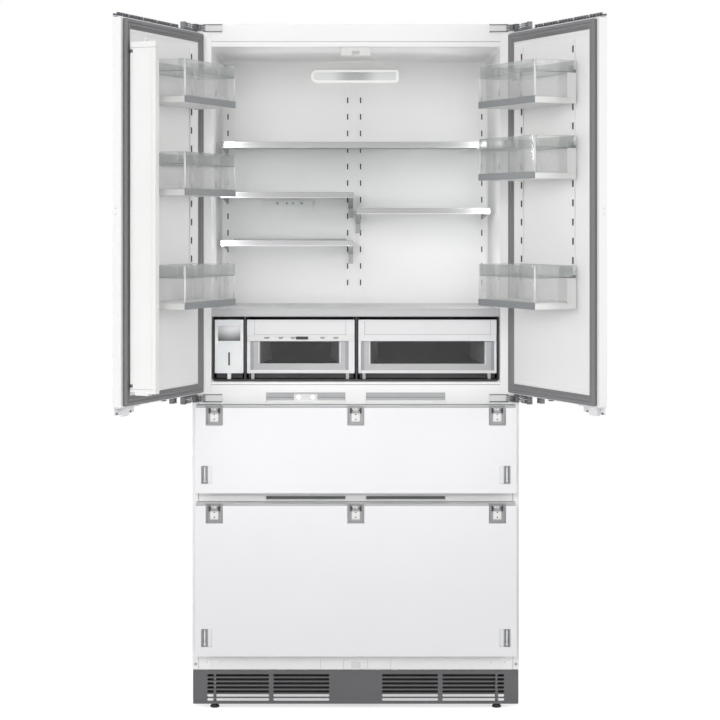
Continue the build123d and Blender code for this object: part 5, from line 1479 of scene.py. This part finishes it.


# Front frame: panel seams, recess ledges, round lamps, the bottom rail's cover and its screws, and painted shade
# in its gaps and recesses.
def frameDetails():
    foot = spans("front_frame")[2][0]
    half = 402.0
    seams = bmesh.new()
    for level in (1854.0, 900.0):
        addBox(seams, (-half, half), (-0.12, 0.4), (level - 0.9, level + 0.9))
    for side in (-1, 1):
        addBox(seams, (side * 437.0 - 0.6, side * 437.0 + 0.6), (-0.12, 0.4), (foot, foot + 36.0))
        for place in (414.0, 376.0):
            addBox(seams, (side * place - 1.0, side * place + 1.0), (-0.12, 0.4), (foot + 18.5, foot + 21.5))
    for edge in (-32.0, 32.0):
        addBox(seams, (edge - 65.5 - 0.4, edge - 65.5 + 0.4), (-0.12, 0.4), (foot + 2.0, foot + 26.0))
        addBox(seams, (edge + 65.5 - 0.4, edge + 65.5 + 0.4), (-0.12, 0.4), (foot + 2.0, foot + 26.0))
    finishPiece(seams, "frameSeams", "cabinet", "trim")
    # Dark strips on the frame just above each drawer front: painted shadow of the gap; the short upright ones at X
    # ±437 are seam lines.
    shadows = bmesh.new()
    for row in ("upper", "lower"):
        level = spans(row + "_drawer_front")[2][1]
        addBox(shadows, (-443.0, 443.0), (-0.12, 0.4), (level - 0.6, level + 1.6))
    for low, high in ((847.0, 858.0), (577.0, 602.0)):
        for side in (-1, 1):
            addBox(shadows, (side * 437.0 - 0.9, side * 437.0 + 0.9), (-0.12, 0.4), (low, high))
    finishPiece(shadows, "frameGapShadowsAndSeams", "cabinet", "binTrim")

    ledges = bmesh.new()
    for side in (-1, 1):
        span = sorted((side * 28.6, side * 249.4))
        addBox(ledges, span, (4.4, 8.9), (851.3, 855.6))
        addBox(ledges, span, (4.6, 8.9), (578.2, 580.2))
    finishPiece(ledges, "recessLedges", "cabinet", "whitePaint", rounding=1.2, steps=3)

    # Grey and dark strips at the backs of the recesses: painted shade, darkest at the upper recess's inner step
    # and in a band in the lower one.
    recessShadeBands = bmesh.new()
    for side in (-1, 1):
        addBox(recessShadeBands, sorted((side * 29.0, side * 249.0)), (8.2, 8.9), (580.4, 589.6))
    finishPiece(recessShadeBands, "recessLowerShade", "cabinet", "grille")
    shadedBacks = bmesh.new()
    steps = bmesh.new()
    for side in (-1, 1):
        addBox(shadedBacks, sorted((side * 29.0, side * 249.0)), (8.2, 8.9), (864.9, 877.6))
        addBox(shadedBacks, sorted((side * 29.0, side * 249.0)), (7.2, 8.9), (855.8, 862.9))
        addBox(steps, sorted((side * 29.0, side * 249.0)), (7.8, 8.9), (863.0, 864.8))
    finishPiece(shadedBacks, "recessBacksPaintedShade", "cabinet", "coverTrim")
    finishPiece(steps, "recessStepShade", "cabinet", "binTrim")

    cover = bmesh.new()
    addBox(cover, (-13.0, 13.0), (-1.1, 0.4), (foot + 3.5, foot + 21.5))
    finishPiece(cover, "railCover", "cabinet", "whiteAbs", rounding=0.8, steps=3)

    screws = bmesh.new()
    for side in (-1, 1):
        addScrews(screws, [(side * 445.5, 0.0, foot + 15.0)], 4.2, 1.4)
    finishPiece(screws, "flangeScrews", "cabinet", "zinc")


frameDetails()


def railLamps():
    x, y, z = spans("rail_lamps")
    body = bmesh.new()
    middle = (sum(x) / 2, sum(z) / 2)
    addBox(body, x, (y[1] - 4.0, y[1]), z)
    finishPiece(body, "lampModule", "cabinet", "whiteAbs", None, "rail_lamps", rounding=1.2, steps=3)
    buttons = bmesh.new()
    for place in (-19.5, 19.5):
        seat = Matrix.Translation((middle[0] + place, y[1] - 3.9, middle[1]))
        seat = seat @ Matrix.Rotation(math.pi / 2, 4, "X")
        circle = bmesh.ops.create_circle(buttons, cap_ends=True, segments=40, radius=6.4, matrix=seat)
        disc = facesOf(circle["verts"])
        raised = bmesh.ops.extrude_face_region(buttons, geom=disc)
        top = [part for part in raised["geom"] if isinstance(part, bmesh.types.BMVert)]
        bmesh.ops.translate(buttons, vec=(0.0, y[0] - (y[1] - 3.9), 0.0), verts=top)
    soften(buttons, sharpEdges(buttons, 60.0), 1.4, 4)
    finishPiece(buttons, "lampButtons", "cabinet", "lens", smooth=True)


railLamps()
print("frame details are made")

# A body of revolution about an upright axis: the profile is a list of (radius, height).
def addTurned(bm, middle, profile, segments=48):
    points = [bm.verts.new((middle[0] + radius, middle[1], height)) for radius, height in profile]
    line = [bm.edges.new(pair) for pair in zip(points, points[1:])]
    bmesh.ops.spin(
        bm, geom=points + line, cent=(middle[0], middle[1], 0.0), axis=(0.0, 0.0, 1.0), angle=math.tau,
        steps=segments, use_merge=True, use_duplicate=False,
    )
    bmesh.ops.remove_doubles(bm, verts=bm.verts, dist=0.005)


# Levelling feet: a flared black pad under a threaded stem.
def levellingFeet():
    x, y, z = spans("front_feet")
    pads = bmesh.new()
    stems = bmesh.new()
    middleY = sum(y) / 2
    for side in (-1, 1):
        middle = (side * (x[1] - 13.0), middleY)
        flare = (
            (0.0, 0.0), (11.6, 0.0), (12.9, 1.4), (12.9, 3.2),
            (9.4, 8.4), (8.6, 10.6), (8.6, 12.0), (0.0, 12.0),
        )
        addTurned(pads, middle, flare)
        thread = [(0.0, 12.0)]
        for turn in range(int((z[1] - 13.0) / 2.0)):
            thread += [(4.3, 12.2 + turn * 2.0), (4.95, 13.2 + turn * 2.0)]
        thread += [(4.3, z[1] - 0.2), (0.0, z[1] - 0.2)]
        addTurned(stems, middle, thread, 24)
    finishPiece(pads, "footPads", "cabinet", "rubber", None, "front_feet", smooth=True)
    finishPiece(stems, "footStems", "cabinet", "zinc")


levellingFeet()


# Compressor: a deep-drawn pot with its weld flange, foot plate, rubber pads, terminal box and pipe stubs.
def compressorPot():
    x, y, z = spans("compressor")
    radius = 68.0
    middle = (x[1] - 72.0, sum(y) / 2)
    foot = z[0] + 11.0
    pot = bmesh.new()
    arc = [math.radians(90.0 * step / 8) for step in range(9)]
    profile = [(0.0, foot)]
    profile += [(radius - 12.0 + 12.0 * math.sin(a), foot + 12.0 - 12.0 * math.cos(a)) for a in arc]
    profile += [(radius - 1.2, foot + 78.0), (radius, foot + 79.5)]
    profile += [(radius, foot + 84.0), (radius - 1.2, foot + 85.5)]
    profile += [(radius - 43.2 + 42.0 * math.cos(a), z[1] - 42.2 + 42.0 * math.sin(a)) for a in arc]
    profile += [(0.0, z[1] - 0.2)]
    addTurned(pot, middle, profile, 72)
    finishPiece(pot, "compressorPot", "cabinet", "enamel", None, "compressor", smooth=True)

    plate = bmesh.new()
    wide = (middle[0] - 72.0, middle[0] + 72.0)
    addBox(plate, wide, (middle[1] - 60.0, middle[1] + 60.0), (z[0] + 9.5, z[0] + 12.5))
    soften(plate, [e for e in sharpEdges(plate) if abs(e.verts[0].co.z - e.verts[1].co.z) > 1.0], 10.0, 6)
    soften(plate, sharpEdges(plate, 60.0), 0.5)
    finishPiece(plate, "compressorPlate", "cabinet", "enamel")

    pads = bmesh.new()
    bolts = bmesh.new()
    outline = ((0.0, 0.0), (8.8, 0.0), (8.8, 7.4), (6.6, 8.2), (6.6, 9.4), (0.0, 9.4))
    grommet = [(reach, z[0] + lift) for reach, lift in outline]
    for sideX in (-60.0, 60.0):
        for sideY in (-48.0, 48.0):
            place = (middle[0] + sideX, middle[1] + sideY)
            addTurned(pads, place, grommet, 32)
            addRod(bolts, (place[0], place[1], z[0] + 14.4), 4.6, 3.6, "z", 6)
            addRod(bolts, (place[0], place[1], z[0] + 12.9), 6.8, 0.9, "z", 28)
    finishPiece(pads, "compressorPads", "cabinet", "rubber")
    finishPiece(bolts, "compressorBolts", "cabinet", "zinc")

    box = bmesh.new()
    boxX = (x[0], middle[0] - radius + 8.0)
    addBox(box, boxX, (middle[1] - 28.0, middle[1] + 28.0), (z[0] + 60.0, z[0] + 120.0))
    finishPiece(box, "terminalBox", "cabinet", "charcoal", rounding=3.0, steps=4)
    clips = bmesh.new()
    addBox(clips, (x[0] - 0.1, x[0] + 1.0), (middle[1] - 6.0, middle[1] + 6.0), (z[0] + 62.0, z[0] + 118.0))
    finishPiece(clips, "terminalClip", "cabinet", "zinc", rounding=0.4)

    stubs = bmesh.new()
    for angle, level in ((35.0, 96.0), (-40.0, 96.0), (150.0, 40.0)):
        reach = radius + 0.5
        place = (
            middle[0] + reach * math.cos(math.radians(angle)) * 0.94,
            middle[1] + min(reach * abs(math.sin(math.radians(angle))), 56.0) * math.copysign(1.0, angle),
        )
        addRod(stubs, (place[0], place[1], z[0] + level + 22.0), 4.0, 44.0, "z", 20)
        addRod(stubs, (place[0] - 6.0, place[1], z[0] + level + 2.0), 5.2, 14.0, "x", 20)
    soften(stubs, sharpEdges(stubs, 60.0), 0.8)
    finishPiece(stubs, "compressorPipes", "cabinet", "copper")


compressorPot()


# Finned coils: pressed fins between end plates, threaded by rows of copper tube with return bends.
def finnedCoil(node, pitch, rows, columns, tube):
    x, y, z = spans(node)
    fins = bmesh.new()
    count = int((x[1] - x[0] - 24.0) / pitch)
    for step in range(count + 1):
        middle = sum(x) / 2 + (step - count / 2) * pitch
        addBox(fins, (middle - 0.25, middle + 0.25), (y[0] + 0.5, y[1] - 0.5), (z[0] + 2.0, z[1] - 1.0))
    finishPiece(fins, node + "Fins", "cabinet", "aluminium", None, node)
    ends = bmesh.new()
    for end, toward in ((x[0], 1), (x[1], -1)):
        addBox(ends, sorted((end + toward * 9.0, end + toward * 10.5)), y, z)
        addBox(ends, sorted((end + toward * 3.0, end + toward * 9.0)), (y[0], y[0] + 1.4), z)
    finishPiece(ends, node + "Ends", "cabinet", "galvanised", rounding=0.3)
    tubes = bmesh.new()
    places = []
    for row in range(rows):
        for column in range(columns):
            up = z[0] + (z[1] - z[0]) * (row + 0.5) / rows
            deep = y[0] + (y[1] - y[0]) * (column + 0.5) / columns
            places.append((deep, up))
            addRod(tubes, (sum(x) / 2, deep, up), tube, x[1] - x[0] - 14.0, "x", 16)
    for first, second in zip(places[::2], places[1::2]):
        for end in (x[0] + 5.6, x[1] - 5.6):
            deep = (min(first[0], second[0]) - tube, max(first[0], second[0]) + tube)
            up = (min(first[1], second[1]) - tube, max(first[1], second[1]) + tube)
            addBox(tubes, (end - tube * 0.8, end + tube * 0.8), deep, up)
    soften(tubes, sharpEdges(tubes, 60.0), tube * 0.35, 2)
    finishPiece(tubes, node + "Tubes", "cabinet", "copper")


finnedCoil("condenser", 4.0, 6, 4, 4.0)
finnedCoil("evaporator", 6.0, 5, 2, 4.0)


# Axial fan: a rounded hub and swept blades with a rising pitch.
def axialFan(node, blades, axis, radius):
    x, y, z = spans(node)
    middle = Vector((sum(x) / 2, sum(y) / 2, sum(z) / 2))
    depth = (x[1] - x[0]) if axis == "x" else (y[1] - y[0])
    hubRadius = radius * 0.28
    bm = bmesh.new()
    addRod(bm, (0.0, 0.0, 0.0), hubRadius, 22.0, "z", 48)
    soften(bm, sharpEdges(bm, 60.0), 2.2, 4)
    half = min(depth / 2 - 0.4, radius * 0.24)
    for blade in range(blades):
        grid = bmesh.ops.create_grid(bm, x_segments=8, y_segments=8, size=0.5)["verts"]
        for vert in grid:
            out = vert.co.x + 0.5
            chord = vert.co.y
            reach = hubRadius * 0.85 + out * (radius * 0.985 - hubRadius * 0.85)
            width = radius * (0.5 + 0.2 * math.sin(math.pi * out)) * (1.0 - 0.35 * out ** 4)
            pitch = math.radians(34.0 - 12.0 * out)
            side = chord * width * math.cos(pitch) + 0.1 * radius * out * out
            turn = math.tau * blade / blades + side / reach * 0.9
            lift = chord * width * math.sin(pitch) + 1.5 * (0.25 - chord * chord)
            vert.co = (reach * math.cos(turn), reach * math.sin(turn), max(-half, min(half, lift)))
        bmesh.ops.solidify(bm, geom=facesOf(grid), thickness=1.6)
    turned = Matrix.Rotation(math.pi / 2, 4, "Y") if axis == "x" else Matrix.Rotation(-math.pi / 2, 4, "X")
    bmesh.ops.transform(bm, matrix=Matrix.Translation(middle) @ turned, verts=bm.verts)
    finishPiece(bm, node + "Rotor", bodyOf[node], "charcoal", None, node, smooth=True)


axialFan("condenser_fan", 5, "x", 74.0)
axialFan("evaporator_fan", 7, "y", 35.5)
softCopy("fan_motors", "enamel", 1.2, 3)


# Rear cover and shell: screws, and the socket's and the valve's details.
def rearDetails():
    screws = bmesh.new()
    back = spans("cabinet_shell")[1][1]
    coverHalf = 396.0
    for place in (-coverHalf, -132.0, 132.0, coverHalf):
        for level in (48.0, 236.0):
            addRod(screws, (place, back - 0.2, level), 4.0, 0.5, "y", 24, 3.4)
    for level in (300.0, 620.0, 940.0, 1260.0, 1580.0, 1880.0):
        for side in (-1, 1):
            addRod(screws, (side * 440.0, back - 0.2, level), 4.0, 0.5, "y", 24, 3.4)
    finishPiece(screws, "rearScrews", "cabinet", "zinc")

    inlet = spans("power_inlet")
    pins = bmesh.new()
    middle = (sum(inlet[0]) / 2, sum(inlet[2]) / 2)
    for pinX, pinZ in ((-7.0, -2.0), (0.0, 2.0), (7.0, -2.0)):
        span = (middle[0] + pinX - 1.1, middle[0] + pinX + 1.1)
        addBox(pins, span, (back - 14.8, back - 2.9), (middle[1] + pinZ - 2.1, middle[1] + pinZ + 2.1))
    finishPiece(pins, "inletPins", "cabinet", "zinc", rounding=0.4)

    valve = spans("water_valve")
    coil = bmesh.new()
    addRod(coil, (sum(valve[0]) / 2, back - 16.0, sum(valve[2]) / 2 + 20.0), 11.5, 23.8, "z", 40)
    soften(coil, sharpEdges(coil, 60.0), 1.2, 3)
    finishPiece(coil, "valveCoil", "cabinet", "charcoal")


rearDetails()


def controlBoxDetails():
    x, y, z = spans("control_box")
    ribs = bmesh.new()
    for step in range(6):
        level = z[0] + 18.0 + step * 15.0
        addBox(ribs, (x[0] + 7.0, x[1] - 7.0), (y[0] - 0.05, y[0] + 0.9), (level, level + 3.0))
        addBox(ribs, (x[0] + 7.0, x[1] - 7.0), (y[1] - 0.9, y[1] + 0.05), (level, level + 3.0))
    finishPiece(ribs, "controlBoxRibs", "cabinet", "rubber", rounding=0.3)


controlBoxDetails()


# A black net in a frame behind the plinth's slots: painted shade, standing for the dark inside of the plinth.
def plinthShadeNet():
    x, y, z = spans("kick_grille")
    net = bmesh.new()
    span = (x[0] + 26.0, x[1] - 26.0)
    levels = (z[0] + 23.0, z[1] - 10.0)
    addBox(net, span, (y[1] + 26.0, y[1] + 28.0), levels)
    for step in range(44):
        place = span[0] + (span[1] - span[0]) * (step + 0.5) / 44
        addBox(net, (place - 0.8, place + 0.8), (y[1] + 25.0, y[1] + 26.2), levels)
    finishPiece(net, "plinthShadeNet", "cabinet", "rubber")


plinthShadeNet()
print("machine compartment is made")

# Floor: a wide pale sheet that keeps the cabinet's shadow and is white to the camera elsewhere.
floorMesh = bpy.data.meshes.new("floor")
floorShape = bmesh.new()
bmesh.ops.create_grid(floorShape, x_segments=1, y_segments=1, size=30.0)
floorShape.to_mesh(floorMesh)
floorShape.free()
floorSheet = bpy.data.objects.new("floor", floorMesh)
bpy.context.scene.collection.objects.link(floorSheet)
floorMaterial = bpy.data.materials.new("white_studio_sweep")
floorMaterial.use_nodes = True
sweep = floorMaterial.node_tree
paper = sweep.nodes["Principled BSDF"]
paper.inputs["Base Color"].default_value = (0.82, 0.82, 0.82, 1.0)
paper.inputs["Roughness"].default_value = 0.9
paper.inputs["Specular IOR Level"].default_value = 0.0
ray = addNode(sweep, "ShaderNodeLightPath")
glow = addNode(sweep, "ShaderNodeEmission", None, {"Color": (1.0, 1.0, 1.0, 1.0), "Strength": 0.62})
hidden = addNode(sweep, "ShaderNodeEmission", None, {"Color": (0.0, 0.0, 0.0, 1.0), "Strength": 0.0})
inputs = {0: ray.outputs["Is Camera Ray"], 1: hidden.outputs[0], 2: glow.outputs[0]}
onlySeen = addNode(sweep, "ShaderNodeMixShader", None, inputs)
surface = sweep.nodes["Material Output"].inputs["Surface"]
addNode(sweep, "ShaderNodeAddShader", None, {0: paper.outputs[0], 1: onlySeen.outputs[0]}, surface)
floorMesh.materials.append(floorMaterial)
